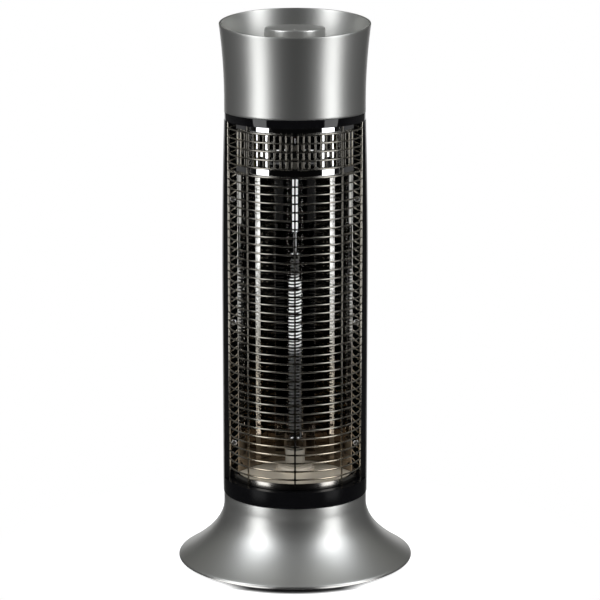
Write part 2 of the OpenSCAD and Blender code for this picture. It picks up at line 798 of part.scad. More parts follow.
module rear_housing() color(matte_black) difference() {
    housing_solid(0, 0);
    difference() {
        housing_solid(housing_wall, eps);
        for (s = [0, 1]) mirror([s, 0, 0])
            translate([rail_inner_x, -rail_front, 0])
                cube([body_r, rail_front - rail_flange_y + rail_flange_t, collar_z]);
        around(housing_boss_angles, housing_boss_circle) translate([0, 0, skirt_top_z])
            cylinder(r = boss_r, h = housing_boss_h);
        around(top_boss_angles, top_boss_circle) translate([0, 0, housing_top_z - housing_boss_h])
            cylinder(r = boss_r, h = housing_boss_h + eps);
    }
    translate([-body_r, -2 * body_r, 0]) cube([2 * body_r, 2 * body_r - rail_front, collar_z]);
    translate([-rail_groove_x, -rail_front - eps, 0])
        cube([2 * rail_groove_x, rail_front - rail_flange_y + eps, collar_z]);
    for (z = vent_bank_z) for (i = [0 : vent_count - 1])
        translate([-vent_size[0] / 2, 0, z + i * vent_pitch]) cube([vent_size[0], body_r + eps, vent_size[1]]);
    around(housing_boss_angles, housing_boss_circle) translate([0, 0, skirt_top_z - eps])
        cylinder(r = m3_r + hair / 2, h = housing_boss_h - 1, $fn = 32);
    around(top_boss_angles, top_boss_circle) translate([0, 0, housing_top_z - housing_boss_h + 1])
        cylinder(r = m3_r + hair / 2, h = housing_boss_h, $fn = 32);
    reflector_screws_at() cylinder(r = m3_r + hair / 2, h = 3 * rail_flange_t, $fn = 32);
}

module housing_screws() color(steel) translate([0, 0, ledge_z])
    around(housing_boss_angles, housing_boss_circle) mirror([0, 0, 1])
        screw(m3_r, m3_head_r - hair, m3_head_h, ledge_t + boss_grip);

// Reflector

module reflector_screws_at() {
    for (s = [-1, 1]) for (h = reflector_screw_h)
        translate([s * reflector_screw_x, -reflector_flange_y, skirt_top_z + h]) rotate([-90, 0, 0]) children();
}

function shifted(points, y) = [for (p = points) [p[0], p[1] + y]];
function reversed(points) = [for (i = [len(points) - 1 : -1 : 0]) points[i]];
function trough_points(y) = shifted(concat([for (p = creases) [-p[0], p[1]]], reversed(creases)), y);

module reflector() color(polished) difference() {
    union() {
        translate([0, 0, tray_top_z + seat_gap]) linear_extrude(ceiling_z - tray_top_z - 2 * seat_gap)
            polygon(concat(trough_points(0), reversed(trough_points(reflector_t))));
        for (s = [0, 1]) mirror([s, 0, 0])
            translate([creases[0][0] - hair, -reflector_flange_y, tray_top_z + seat_gap])
                cube([reflector_flange_x - creases[0][0] + hair, reflector_t,
                      housing_top_z - tray_top_z - 2 * seat_gap]);
    }
    reflector_screws_at() translate([0, 0, -eps])
        cylinder(r = m3_r + hair, h = reflector_t + 2 * eps, $fn = 32);
}

module reflector_screws() color(steel) reflector_screws_at() mirror([0, 0, 1])
    screw(m3_r, reflector_head_r, low_head_h, reflector_t + 2 * rail_flange_t);

// Tray

module tray_screws_at() {
    for (s = [-1, 1]) rotate([0, 0, s * tray_screw_angle]) translate([0, -tray_screw_circle, 0]) children();
}

module bottom_tray() color(polished) difference() {
    union() {
        intersection() {
            translate([0, 0, tray_top_z - tray_sheet]) cylinder(r = tray_r, h = tray_sheet);
            translate([0, 0, tray_top_z - 2 * tray_sheet]) linear_extrude(3 * tray_sheet)
                polygon(concat(shifted(trough_points(0), -seat_gap),
                    [[creases[0][0], -body_r], [-creases[0][0], -body_r]]));
        }
        difference() {
            rotate_extrude() polygon([
                [tray_r - tray_sheet, tray_top_z - tray_sheet / 2], [tray_r - tray_sheet, skirt_top_z],
                [tray_lip_r, skirt_top_z], [tray_lip_r, skirt_top_z + tray_lip_h],
                [tray_lip_r - tray_sheet, skirt_top_z + tray_lip_h],
                [tray_lip_r - tray_sheet, skirt_top_z + tray_sheet], [tray_r, skirt_top_z + tray_sheet],
                [tray_r, tray_top_z - tray_sheet / 2]
            ]);
            translate([-body_r, -tray_back_y - seat_gap, 0]) cube([2 * body_r, 2 * body_r, collar_z]);
        }
    }
    for (s = [-1, 1]) translate([s * tray_slot_at[0], tray_slot_at[1], collar_z / 2])
        cube([tray_slot[0], tray_slot[1], collar_z], center = true);
    cylinder(r = tray_lead_hole_r, h = collar_z);
    tray_screws_at() cylinder(r = m3_r + hair, h = collar_z, $fn = 32);
}

module tray_screws() color(steel) translate([0, 0, skirt_top_z + tray_sheet]) tray_screws_at()
    screw(m3_r, m3_head_r - head_trim, low_head_h - 2 * hair, tray_sheet + ledge_t);

// Grille

module uprights_at() {
    for (s = [-1, 1]) translate([s * grille_side_x, -rail_front, 0]) children();
    for (a = [-upright_angle, upright_angle]) rotate([0, 0, a]) translate([0, -upright_r, 0]) children();
    translate([0, -upright_r, 0]) children();
}

module long_uprights_at() {
    for (s = [-1, 1]) translate([s * grille_side_x, -rail_front, 0]) children();
    for (a = [-upright_angle, upright_angle]) rotate([0, 0, a]) translate([0, -upright_r, 0]) children();
}

module short_uprights_at() {
    for (s = [-1, 1]) for (i = [0 : short_uprights - 1])
        rotate([0, 0, s * (i + 0.5) * short_step]) translate([0, -upright_r, 0]) children();
}

top_wire_z = first_wire_z + (wire_count - 1) * wire_pitch;

module front_grille() color(polished) {
    grille_z = ledge_z + seat_gap;
    hood_wire_z = first_wire_z + wire_pitch * ceil((ceiling_z - first_wire_z) / wire_pitch);
    for (i = [0 : wire_count - 1]) translate([0, 0, first_wire_z + i * wire_pitch]) grille_wire();
    translate([0, 0, grille_z]) long_uprights_at() cylinder(r = wire_r, h = grille_top_z - grille_z, $fn = 16);
    translate([0, -upright_r, grille_z]) cylinder(r = wire_r, h = hood_wire_z + wire_r - grille_z, $fn = 16);
    short_z = hood_wire_z + wire_pitch - wire_r;
    translate([0, 0, short_z]) short_uprights_at()
        cylinder(r = wire_r, h = top_wire_z + wire_r - short_z, $fn = 16);
}

// One horizontal wire, from side upright to side upright
module grille_wire() {
    difference() {
        rotate_extrude() translate([grille_r, 0]) rotate(22.5) circle(r = wire_r, $fn = 8);
        translate([-body_r, -wire_end_y, -body_r]) cube([2 * body_r, 2 * body_r, 2 * body_r]);
    }
}

// Tube and filament

module quartz_tube() color([0.8, 0.85, 0.85, 0.4]) translate([0, 0, tube_z])
    tube(tube_r, tube_r - tube_wall, tube_top_z - tube_z);

coil_sides = 6;
rings_per_turn = 8;
coil_rings = coil_turns * rings_per_turn;
bend_steps = [30, 60];
function bend(b) = [0, coil_bend_r * sin(b), coil_bend_r * (1 - cos(b))];
neck_turns = 6;
function turn_r(t) = coil_neck_r + (coil_r - coil_neck_r) * min(1, max(0, coil_turns - neck_turns - t));
coil_start = [coil_r, 0, coil_z];
coil_end = [coil_neck_r, 0, coil_top_z];
coil_path = concat(
    [coil_start - bend(90) - [0, 0, 2 * coil_wire_r], coil_start - bend(90)],
    [for (b = [60, 30]) coil_start - bend(b)],
    [for (i = [0 : coil_rings])
        let (a = 360 * i / rings_per_turn, r = turn_r(i / rings_per_turn))
        [r * cos(a), r * sin(a), coil_z + coil_pitch * i / rings_per_turn]],
    [for (b = bend_steps) coil_end + bend(b)],
    [coil_end + bend(90), coil_end + bend(90) + [0, 0, 2 * coil_wire_r]]
);
coil_lead_in = 4;
coil_last = len(coil_path) - 1;
function coil_angle(k) = 360 * min(max(k - coil_lead_in, 0), coil_rings) / rings_per_turn;
coil_self_gap = min([for (k = [0 : coil_last - rings_per_turn / 2])
    min([for (m = [k + rings_per_turn / 2 : min(coil_last, k + 2 * rings_per_turn)])
        norm(coil_path[k] - coil_path[m])])]) - 2 * coil_wire_r;
echo(filament_least_gap_to_itself = coil_self_gap);

module carbon_filament() color(carbon_grey) polyhedron(
    points = [for (k = [0 : coil_last])
        each ring(coil_path, k, [cos(coil_angle(k)), sin(coil_angle(k)), 0], coil_wire_r, coil_sides)],
    faces = sweep_faces(coil_last, coil_sides),
    convexity = 10
);

// The two end contacts, each with the rod that leaves the tube
module filament_terminals() color(steel) {
    lower_face = coil_z - coil_tail;
    upper_face = coil_top_z + coil_tail;
    translate([0, 0, lower_face - terminal_t])
        cylinder(r = tube_r - tube_wall - terminal_gap, h = terminal_t);
    translate([0, 0, bracket_top_z - rod_spare])
        cylinder(r = rod_r, h = lower_face - bracket_top_z + rod_spare - hair, $fn = 32);
    translate([0, 0, upper_face]) cylinder(r = terminal_r, h = terminal_t);
    translate([0, 0, upper_face + hair]) cylinder(r = neck_rod_r, h = sleeve_z - upper_face, $fn = 32);
    translate([0, 0, sleeve_z]) cylinder(r = sleeve_r, h = sleeve_len + ceiling_t);
    translate([0, 0, ceiling_z]) cylinder(r = rod_r, h = upper_cap_top_z + rod_spare - ceiling_z, $fn = 32);
}

module lower_tube_bracket() color(polished) translate([0, 0, tray_top_z]) difference() {
    union() {
        cylinder(r = bracket_r, h = bracket_h / 2);
        cylinder(r1 = bracket_r - bracket_step, r2 = bracket_r - 2 * bracket_step, h = bracket_h);
    }
    translate([0, 0, -eps]) cylinder(r = rod_r + 3 * hair, h = bracket_h + 2 * eps, $fn = 32);
}

module lower_ceramic_cap() color(ceramic_white) difference() {
    translate([0, 0, bracket_top_z]) cylinder(r = cap_r, h = lower_cap_h);
    translate([0, 0, tube_z - hair]) cylinder(r = tube_r + hair, h = lower_cap_h);
    cylinder(r = rod_r + hair, h = lower_cap_top_z, $fn = 32);
}

module upper_ceramic_cap() color(ceramic_white) difference() {
    translate([0, 0, ceiling_top_z]) cylinder(r = cap_r, h = upper_cap_h);
    translate([0, 0, ceiling_top_z - eps])
        cylinder(r = tube_r + hair, h = tube_top_z - ceiling_top_z + eps + hair);
    cylinder(r = rod_r + hair, h = upper_cap_top_z + eps, $fn = 32);
}

// Ceiling of the chamber and what hangs it

module upper_plate() color(polished) difference() {
    translate([0, 0, ceiling_z]) cylinder(r = ceiling_r, h = ceiling_t);
    for (s = [0, 1]) mirror([s, 0, 0])
        translate([creases[0][0] - 0.5, -rail_front - 1, 0])
            cube([body_r, rail_front + 1 - rail_flange_y + rail_flange_t + seat_gap, collar_z]);
    cylinder(r = tube_r + 2 * hair, h = collar_z);
    for (p = standoffs_at) translate([p[0], p[1], 0]) cylinder(r = m3_r + hair, h = collar_z, $fn = 32);
    translate([0, lead_y, 0]) cylinder(r = lead_hole_r, h = collar_z);
}

module standoffs() color(brass_yellow) for (p = standoffs_at) translate([p[0], p[1], ceiling_top_z])
    difference() {
        cylinder(r = standoff_r, h = housing_top_z - ceiling_top_z, $fn = 6);
        translate([0, 0, -eps])
            cylinder(r = m3_r + hair / 2, h = housing_top_z - ceiling_top_z + 2 * eps, $fn = 32);
    }

module standoff_screws() color(steel) for (p = standoffs_at) {
    translate([p[0], p[1], bezel_deck_top_z])
        screw(m3_r, m3_head_r, m3_head_h, bezel_deck_t + standoff_screw_len);
    translate([p[0], p[1], ceiling_z]) mirror([0, 0, 1])
        screw(m3_r, m3_head_r, m3_head_h, ceiling_t + standoff_screw_len);
}

cutout_at = [32, 8];
cutout_r = 8;
cutout_h = 7;
cutout_strap = [24, 6.4, 0.8];
blade = [0.8, 6, 8];

// Flat terminals that stand on z = 0 at each place along x
module blades(places, h) {
    for (x = places) translate([x - blade[0] / 2, -blade[1] / 2, 0]) cube([blade[0], blade[1], h]);
}

module thermal_cutout() color(matte_black) translate([cutout_at[0], cutout_at[1], ceiling_top_z]) {
    cylinder(r = cutout_r, h = cutout_h);
    translate([-cutout_strap[0] / 2, -cutout_strap[1] / 2, 0]) cube(cutout_strap);
    translate([0, 0, cutout_h - hair]) blades([-4, 4], blade[2] - eps);
}

// Perforated hood

module hood_screws_at() {
    for (s = [-1, 1]) rotate([0, 0, s * hood_screw_angle]) translate([0, -hood_screw_circle, 0]) children();
}

module hood_slot(h) {
    translate([0, 0, -hood_r - eps]) linear_extrude(hood_r / 2) {
        square([hood_slot_w, h - hood_slot_w], center = true);
        for (s = [-1, 1]) translate([0, s * (h - hood_slot_w) / 2]) circle(d = hood_slot_w, $fn = 24);
    }
}

module upper_hood() color(polished) difference() {
    translate([0, 0, ceiling_z]) {
        tube(hood_r, hood_r - hood_wall, hood_h);
        translate([0, 0, hood_h - hood_flange_t])
            tube(hood_r - hood_wall / 2, hood_r - hood_flange_w, hood_flange_t);
    }
    for (s = [0, 1]) mirror([s, 0, 0])
        translate([hood_half_w, -body_r, 0]) cube([body_r, 2 * body_r, collar_z]);
    translate([-body_r, -hood_back_y, 0]) cube([2 * body_r, 2 * body_r, collar_z]);
    for (row = hood_slot_rows) for (i = [-hood_slots : hood_slots])
        rotate([0, 0, i * hood_slot_step]) translate([0, 0, ceiling_z + row[0] + row[1] / 2])
            rotate([-90, 0, 0]) hood_slot(row[1]);
    hood_screws_at() cylinder(r = m3_r + hair, h = collar_z, $fn = 32);
}

module hood_screws() color(steel) translate([0, 0, bezel_deck_top_z]) hood_screws_at()
    screw(m3_r, m3_head_r, m3_head_h, bezel_deck_t + 2);

// Upper bezel

module upper_bezel() color(gloss_black) difference() {
    translate([0, 0, housing_top_z]) cylinder(r = body_top_r, h = upper_bezel_h);
    translate([0, 0, bezel_deck_top_z]) cylinder(r = body_top_r - bezel_wall, h = upper_bezel_h);
    translate([0, 0, housing_top_z - eps]) cylinder(r = bezel_hole_r, h = upper_bezel_h);
    for (p = standoffs_at) translate([p[0], p[1], housing_top_z - eps])
        cylinder(r = m3_r + hair, h = upper_bezel_h, $fn = 32);
    translate([0, 0, housing_top_z - eps]) {
        around(top_boss_angles, top_boss_circle) cylinder(r = m3_r + hair, h = upper_bezel_h, $fn = 32);
        around(collar_boss_angles, collar_boss_circle) cylinder(r = m3_r + hair, h = upper_bezel_h, $fn = 32);
        hood_screws_at() cylinder(r = m3_r + hair / 2, h = upper_bezel_h, $fn = 32);
        long_uprights_at()
            cylinder(r = wire_r + wire_socket_gap, h = eps + grille_top_z + hair - housing_top_z, $fn = 24);
        around(shield_angles, shield_screw_circle) cylinder(r = m3_r + hair / 2, h = upper_bezel_h, $fn = 32);
    }
}

module upper_bezel_screws() color(steel) translate([0, 0, bezel_deck_top_z])
    around(top_boss_angles, top_boss_circle)
        screw(m3_r, m3_head_r - head_trim, m3_head_h, bezel_deck_t + boss_grip);

module heat_shield() color(polished) difference() {
    translate([0, 0, bezel_deck_top_z]) cylinder(r = shield_r, h = shield_t);
    translate([0, lead_y, 0]) cylinder(r = lead_hole_r, h = collar_top_z);
    for (p = standoffs_at) translate([p[0], p[1], 0])
        cylinder(r = m3_head_r + 2 * head_trim, h = collar_top_z, $fn = 32);
    around(shield_angles, shield_screw_circle) cylinder(r = m3_r + hair, h = collar_top_z, $fn = 32);
}

module shield_screws() color(steel) translate([0, 0, bezel_deck_top_z + shield_t])
    around(shield_angles, shield_screw_circle) screw(m3_r, m3_head_r, m3_head_h, shield_t + bezel_deck_t);

// Collar and control panel

function collar_r(z) = body_top_r + pow(max(0, z - flare_z), 2) / (2 * collar_flare_arc);
function collar_step_z(i) = flare_z + (collar_top_z + 2 - flare_z) * i / collar_steps;

module collar_solid(inset, spare) {
    rotate_extrude() polygon(concat(
        [[0, collar_z - spare], [body_top_r - inset, collar_z - spare]],
        [for (i = [0 : collar_steps]) [collar_r(collar_step_z(i)) - inset, collar_step_z(i)]],
        [[0, collar_step_z(collar_steps)]]
    ));
}

collar_back_r = collar_r(collar_top_z);
panel_screw_circle = collar_r(panel_z) - collar_wall - panel_screw_inset;
bezel_inner_r = body_top_r - bezel_wall;

module collar() color(paint_silver) difference() {
    union() {
        difference() {
            collar_solid(0, 0);
            difference() {
                collar_solid(collar_wall, eps);
                translate([0, 0, panel_z - panel_ledge_t])
                    tube(2 * body_r, collar_r(panel_z) - collar_wall - panel_ledge_w, panel_ledge_t);
                around(collar_boss_angles, collar_boss_circle) translate([0, 0, collar_z - 2 * eps])
                    cylinder(r = boss_r, h = collar_boss_h);
            }
        }
        intersection() {
            around(collar_boss_angles, collar_boss_circle) translate([0, 0, bezel_deck_top_z])
                cylinder(r = boss_r, h = collar_boss_h / 2);
            cylinder(r = bezel_inner_r - hair, h = collar_top_z);
        }
    }
    translate([0, collar_back_r, collar_top_z]) rotate([rim_slope, 0, 0])
        translate([-2 * body_r, -4 * body_r, 0]) cube([4 * body_r, 5 * body_r, 2 * collar_h]);
    around(collar_boss_angles, collar_boss_circle) translate([0, 0, collar_z - upper_bezel_h])
        cylinder(r = m3_r + hair / 2, h = collar_boss_h, $fn = 32);
    translate([0, 0, panel_z - panel_ledge_t - eps]) around(third_angles, panel_screw_circle)
        cylinder(r = m3_r + hair, h = panel_ledge_t + 2 * eps, $fn = 32);
}

module collar_screws() color(steel) translate([0, 0, housing_top_z])
    around(collar_boss_angles, collar_boss_circle) mirror([0, 0, 1])
        screw(m3_r, m3_head_r - head_trim, m3_head_h, bezel_deck_t + boss_grip - eps);

module control_panel() color(paint_silver) difference() {
    translate([0, 0, panel_z]) cylinder(r = collar_r(panel_z) - collar_wall - hair, h = panel_t);
    translate([0, 0, panel_z - eps]) cylinder(r = bushing_r + hair, h = panel_t + 2 * eps);
    translate([0, 0, panel_z - eps]) around(third_angles, panel_screw_circle)
        cylinder(r = m3_r + hair / 2, h = panel_t, $fn = 32);
}

module panel_screws() color(steel) translate([0, 0, panel_z - panel_ledge_t])
    around(third_angles, panel_screw_circle) mirror([0, 0, 1])
        screw(m3_r, m3_head_r - 2 * head_trim, m3_head_h, panel_ledge_t + panel_t / 2);

// Switch and knob

module rotary_switch() color(matte_black) difference() {
    union() {
        translate([-switch_size[0] / 2, -switch_size[1] / 2, panel_z - switch_size[2]]) cube(switch_size);
        translate([0, 0, panel_z - hair]) cylinder(r = bushing_r, h = bushing_h + hair);
        translate([0, 0, panel_z - switch_size[2] - blade[2]]) blades([-12, -4, 4, 12], blade[2] + hair);
    }
    translate([0, 0, panel_z - shaft_sink]) cylinder(r = shaft_r + run_gap, h = shaft_sink + bushing_h + eps);
}

module switch_nut() color(steel) translate([0, 0, panel_top_z]) difference() {
    cylinder(r = nut_r, h = nut_h, $fn = 6);
    translate([0, 0, -eps]) cylinder(r = bushing_r + hair / 2, h = nut_h + 2 * eps);
}

// The shaft's end with its flat
module d_shaft(r, flat, h) {
    difference() {
        cylinder(r = r, h = h);
        translate([flat, -r - eps, -eps]) cube([r, 2 * (r + eps), h + 2 * eps]);
    }
}

module switch_shaft() color(steel) {
    shaft_z = panel_z - shaft_sink + seat_gap;
    translate([0, 0, shaft_z]) cylinder(r = shaft_r, h = flat_z - shaft_z);
    translate([0, 0, flat_z - hair]) d_shaft(shaft_r, shaft_flat, shaft_top_z - flat_z + hair);
}

module knob_outer() {
    rotate_extrude() polygon(concat(
        [[0, knob_z], [knob_r, knob_z]],
        [for (i = [0 : knob_edge_steps])
            let (a = 90 * i / knob_edge_steps)
            [knob_r - knob_edge_r, knob_top_z - knob_edge_r] + knob_edge_r * [cos(a), sin(a)]],
        [[0, knob_top_z]]
    ));
}

module knob() color(paint_silver) difference() {
    knob_outer();
    difference() {
        translate([0, 0, knob_z - eps]) cylinder(r = knob_r - knob_wall, h = knob_h - knob_wall - 0.5 + eps);
        translate([0, 0, knob_top_z - knob_boss_drop]) cylinder(r = knob_boss_r, h = knob_boss_drop);
    }
    translate([0, 0, flat_z]) d_shaft(shaft_r + hair / 2, shaft_flat + hair / 2, shaft_top_z - flat_z + hair);
    translate([-pointer_size[0] / 2, -knob_r + knob_edge_r, knob_top_z - pointer_size[2]])
        cube([pointer_size[0], pointer_size[1], pointer_size[2] + eps]);
}

// Wires up the back of the reflector, from the spigot to the switch
module column_wires() color(insulation) {
    switch_low_z = panel_z - switch_size[2];
    lead([[0, 0, spigot_end_z + hair], [0, 0, turntable_top_z + 3 * lead_r],
          [0, lead_y, turntable_top_z + 4 * lead_r], [0, lead_y, switch_low_z - 8 * lead_r],
          [0, switch_lead_y, switch_low_z - 5 * lead_r], [0, switch_lead_y, switch_low_z]], lead_r, [1, 0, 0]);
}

base_shell();
base_plate();
feet();
base_plate_screws();
ballast_ring();
bearing_plate();
bearing_plate_screws();
glide_ring();
oscillation_motor();
motor_screws();
tip_switch();
tip_switch_screws();
cord_gland();
terminal_block();
base_wires();
crank_disc();
motor_shaft();
tip_plunger();
turntable();
skirt_screws();
thrust_washer();
circlip();
drive_yoke();
yoke_screws();
lower_bezel();
rear_housing();
housing_screws();
reflector();
reflector_screws();
bottom_tray();
tray_screws();
front_grille();
quartz_tube();
carbon_filament();
filament_terminals();
lower_tube_bracket();
lower_ceramic_cap();
upper_ceramic_cap();
upper_plate();
standoffs();
standoff_screws();
thermal_cutout();
upper_hood();
hood_screws();
upper_bezel();
upper_bezel_screws();
heat_shield();
shield_screws();
collar();
collar_screws();
control_panel();
panel_screws();
rotary_switch();
switch_nut();
column_wires();
knob();
switch_shaft();
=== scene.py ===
"""A carbon heater on a flared base: the looks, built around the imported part.

Lengths are written in millimetres and turned into metres where a mesh is made.
"""

import json
import math

import bmesh
import bpy
from mathutils import Matrix, Vector


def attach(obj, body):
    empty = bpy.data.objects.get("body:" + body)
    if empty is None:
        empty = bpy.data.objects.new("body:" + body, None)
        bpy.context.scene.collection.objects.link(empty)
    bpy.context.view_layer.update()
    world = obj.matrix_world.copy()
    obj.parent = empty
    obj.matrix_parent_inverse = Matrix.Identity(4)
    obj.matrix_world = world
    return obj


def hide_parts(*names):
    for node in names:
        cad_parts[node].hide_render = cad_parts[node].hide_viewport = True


MM = 0.001
TAU = 2 * math.pi

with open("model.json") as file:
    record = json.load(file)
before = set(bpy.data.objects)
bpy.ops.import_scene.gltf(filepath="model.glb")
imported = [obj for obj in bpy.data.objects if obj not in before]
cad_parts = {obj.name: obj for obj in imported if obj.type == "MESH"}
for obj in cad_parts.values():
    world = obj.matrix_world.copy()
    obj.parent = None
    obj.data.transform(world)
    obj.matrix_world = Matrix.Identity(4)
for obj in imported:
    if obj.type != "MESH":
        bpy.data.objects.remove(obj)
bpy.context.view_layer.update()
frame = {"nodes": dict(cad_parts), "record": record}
scene = bpy.context.scene


# Outlines


def rounded(points, radii, steps=5):
    """A closed outline with each corner turned into an arc; radii is one number, or one for each corner."""
    out = []
    count = len(points)
    for i in range(count):
        radius = radii[i] if isinstance(radii, (list, tuple)) else radii
        p, a, b = Vector(points[i]), Vector(points[i - 1]), Vector(points[(i + 1) % count])
        u, v = (a - p).normalized(), (b - p).normalized()
        angle = u.angle(v, math.pi)
        if radius <= 0 or angle > math.pi - 0.02:
            out.append(tuple(p))
            continue
        reach = min(radius / math.tan(angle / 2), 0.49 * (a - p).length, 0.49 * (b - p).length)
        radius = reach * math.tan(angle / 2)
        centre = p + (u + v).normalized() * (radius / math.sin(angle / 2))
        start, end = p + u * reach - centre, p + v * reach - centre
        first = math.atan2(start.y, start.x)
        turn = (math.atan2(end.y, end.x) - first + math.pi) % TAU - math.pi
        for k in range(steps + 1):
            a = first + turn * k / steps
            out.append((centre.x + radius * math.cos(a), centre.y + radius * math.sin(a)))
    return out


def arc(centre, radius, first, last, steps):
    """Points on an arc, in degrees, both ends included."""
    angles = [math.radians(first + (last - first) * k / steps) for k in range(steps + 1)]
    return [(centre[0] + radius * math.cos(a), centre[1] + radius * math.sin(a)) for a in angles]


# Solids, each as (vertices, faces)


def lathe(outline, steps=224, first=0.0, last=360.0):
    """A closed (radius, height) outline turned about Z, capped where it isn't a full turn."""
    whole = last - first >= 360
    rings = steps if whole else steps + 1
    count = len(outline)
    verts, faces = [], []
    for i in range(rings):
        a = math.radians(first + (last - first) * i / steps)
        verts += [(r * math.cos(a), r * math.sin(a), z) for r, z in outline]
    for i in range(steps):
        j = (i + 1) % rings
        for k in range(count):
            m = (k + 1) % count
            faces.append((i * count + k, j * count + k, j * count + m, i * count + m))
    if not whole:
        faces.append(tuple(range(count)))
        faces.append(tuple(range((rings - 1) * count, rings * count)))
    return verts, faces


def prism(outline, low, high):
    """An (x, y) outline raised from low to high."""
    count = len(outline)
    verts = [(x, y, z) for z in (low, high) for x, y in outline]
    faces = [(k, (k + 1) % count, count + (k + 1) % count, count + k) for k in range(count)]
    return verts, faces + [tuple(range(count)), tuple(range(count, 2 * count))]


def sweep(path, radius, sides=10):
    """A round wire along a path, with flat ends."""
    path = [Vector(p) for p in path]
    verts, faces = [], []
    side = None
    for k, p in enumerate(path):
        along = (path[min(k + 1, len(path) - 1)] - path[max(k - 1, 0)]).normalized()
        if side is None:
            side = along.orthogonal()
        side = (side - along * side.dot(along)).normalized()
        across = along.cross(side)
        for j in range(sides):
            a = TAU * j / sides
            verts.append(tuple(p + (side * math.cos(a) + across * math.sin(a)) * radius))
    for k in range(len(path) - 1):
        for j in range(sides):
            m = (j + 1) % sides
            faces.append((k * sides + j, k * sides + m, (k + 1) * sides + m, (k + 1) * sides + j))
    last = (len(path) - 1) * sides
    return verts, faces + [tuple(range(sides)), tuple(range(last, last + sides))]


def placed(solid, move=(0, 0, 0), turn=0.0, tip=0.0):
    """A solid tipped about X, turned about Z and then moved, in degrees and millimetres."""
    m = Matrix.Translation(move) @ Matrix.Rotation(math.radians(turn), 4, "Z")
    m = m @ Matrix.Rotation(math.radians(tip), 4, "X")
    return [tuple(m @ Vector(v)) for v in solid[0]], solid[1]


def merged(solids):
    verts, faces = [], []
    for v, f in solids:
        start = len(verts)
        verts += v
        faces += [tuple(start + i for i in face) for face in f]
    return verts, faces


# Pieces


def bare_object(name, solid):
    mesh = bpy.data.meshes.new(name)
    mesh.from_pydata([(x * MM, y * MM, z * MM) for x, y, z in solid[0]], [], solid[1])
    bm = bmesh.new()
    bm.from_mesh(mesh)
    bmesh.ops.remove_doubles(bm, verts=bm.verts, dist=1e-7)
    bmesh.ops.recalc_face_normals(bm, faces=bm.faces)
    bm.to_mesh(mesh)
    bm.free()
    obj = bpy.data.objects.new(name, mesh)
    scene.collection.objects.link(obj)
    return obj


def cut(obj, solid):
    """Takes a solid's shape out of an object."""
    tool = bare_object(obj.name + "_cutter", solid)
    step = obj.modifiers.new("cut", "BOOLEAN")
    step.object = tool
    step.solver = "EXACT"
    step.use_self = True
    apply_all(obj)
    bpy.data.objects.remove(tool)


def apply_all(obj):
    graph = bpy.context.evaluated_depsgraph_get()
    mesh = bpy.data.meshes.new_from_object(obj.evaluated_get(graph))
    obj.modifiers.clear()
    obj.data = mesh


def piece(name, solid, body, slot, replaces=(), cutters=(), sharp=30.0, steer=None, look=None):
    """A finished piece: mesh, cuts and shading, body and slot, the nodes it stands for, and its look."""
    obj = bare_object(name, solid)
    for cutter in cutters:
        cut(obj, cutter)
    obj.data.shade_smooth()
    obj.data.set_sharp_from_angle(angle=math.radians(sharp))
    if steer:
        steer_normals(obj.data, steer)
    obj.data.materials.clear()
    obj.data.materials.append(finishes[look or slot])
    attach(obj, body)
    if replaces:
        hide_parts(*replaces)


def steer_normals(mesh, limit):
    """Gives faces that lie on a drum about Z their true round normals, so that cut sheets reflect well."""
    normals = []
    for poly in mesh.polygons:
        flat = Vector((poly.center.x, poly.center.y, 0)).normalized()
        facing = poly.normal.dot(flat)
        for i in poly.loop_indices:
            p = mesh.vertices[mesh.loops[i].vertex_index].co
            out = Vector((p.x, p.y, 0)).normalized()
            normals.append(out * math.copysign(1, facing) if abs(facing) > limit else poly.normal)
    mesh.normals_split_custom_set(normals)


# Finishes


def node_at(tree, kind, **values):
    node = tree.nodes.new(kind)
    for key, value in values.items():
        setattr(node, key, value)
    return node


def ramp_node(tree, value, stops):
    """Colour by a value from -1 to 1; stops are (value, red, green, blue)."""
    scale = node_at(tree, "ShaderNodeMapRange")
    scale.inputs["From Min"].default_value = -1
    scale.inputs["From Max"].default_value = 1
    tree.links.new(value, scale.inputs["Value"])
    ramp = node_at(tree, "ShaderNodeValToRGB")
    marks = ramp.color_ramp.elements
    marks[0].position, marks[1].position = 0, 1
    for k, (place, *color) in enumerate(stops):
        mark = marks[0] if k == 0 else marks[-1] if k == len(stops) - 1 else marks.new((place + 1) / 2)
        mark.color = (*color, 1)
    tree.links.new(scale.outputs["Result"], ramp.inputs["Fac"])
    return ramp.outputs["Color"]


def step_node(tree, value, low, high):
    step = node_at(tree, "ShaderNodeMapRange", interpolation_type="SMOOTHSTEP")
    step.inputs["From Min"].default_value = low
    step.inputs["From Max"].default_value = high
    tree.links.new(value, step.inputs["Value"])
    return step.outputs["Result"]


def mixed_color(tree, factor, a, b):
    mix = node_at(tree, "ShaderNodeMix", data_type="RGBA")
    tree.links.new(factor, mix.inputs["Factor"])
    for socket, value in ((mix.inputs["A"], a), (mix.inputs["B"], b)):
        if isinstance(value, tuple):
            socket.default_value = (*value, 1)
        else:
            tree.links.new(value, socket)
    return mix.outputs["Result"]


def math_node(tree, operation, *values, clamp=False):
    node = node_at(tree, "ShaderNodeMath", operation=operation, use_clamp=clamp)
    for socket, value in zip(node.inputs, values):
        if isinstance(value, (int, float)):
            socket.default_value = value
        else:
            tree.links.new(value, socket)
    return node.outputs["Value"]


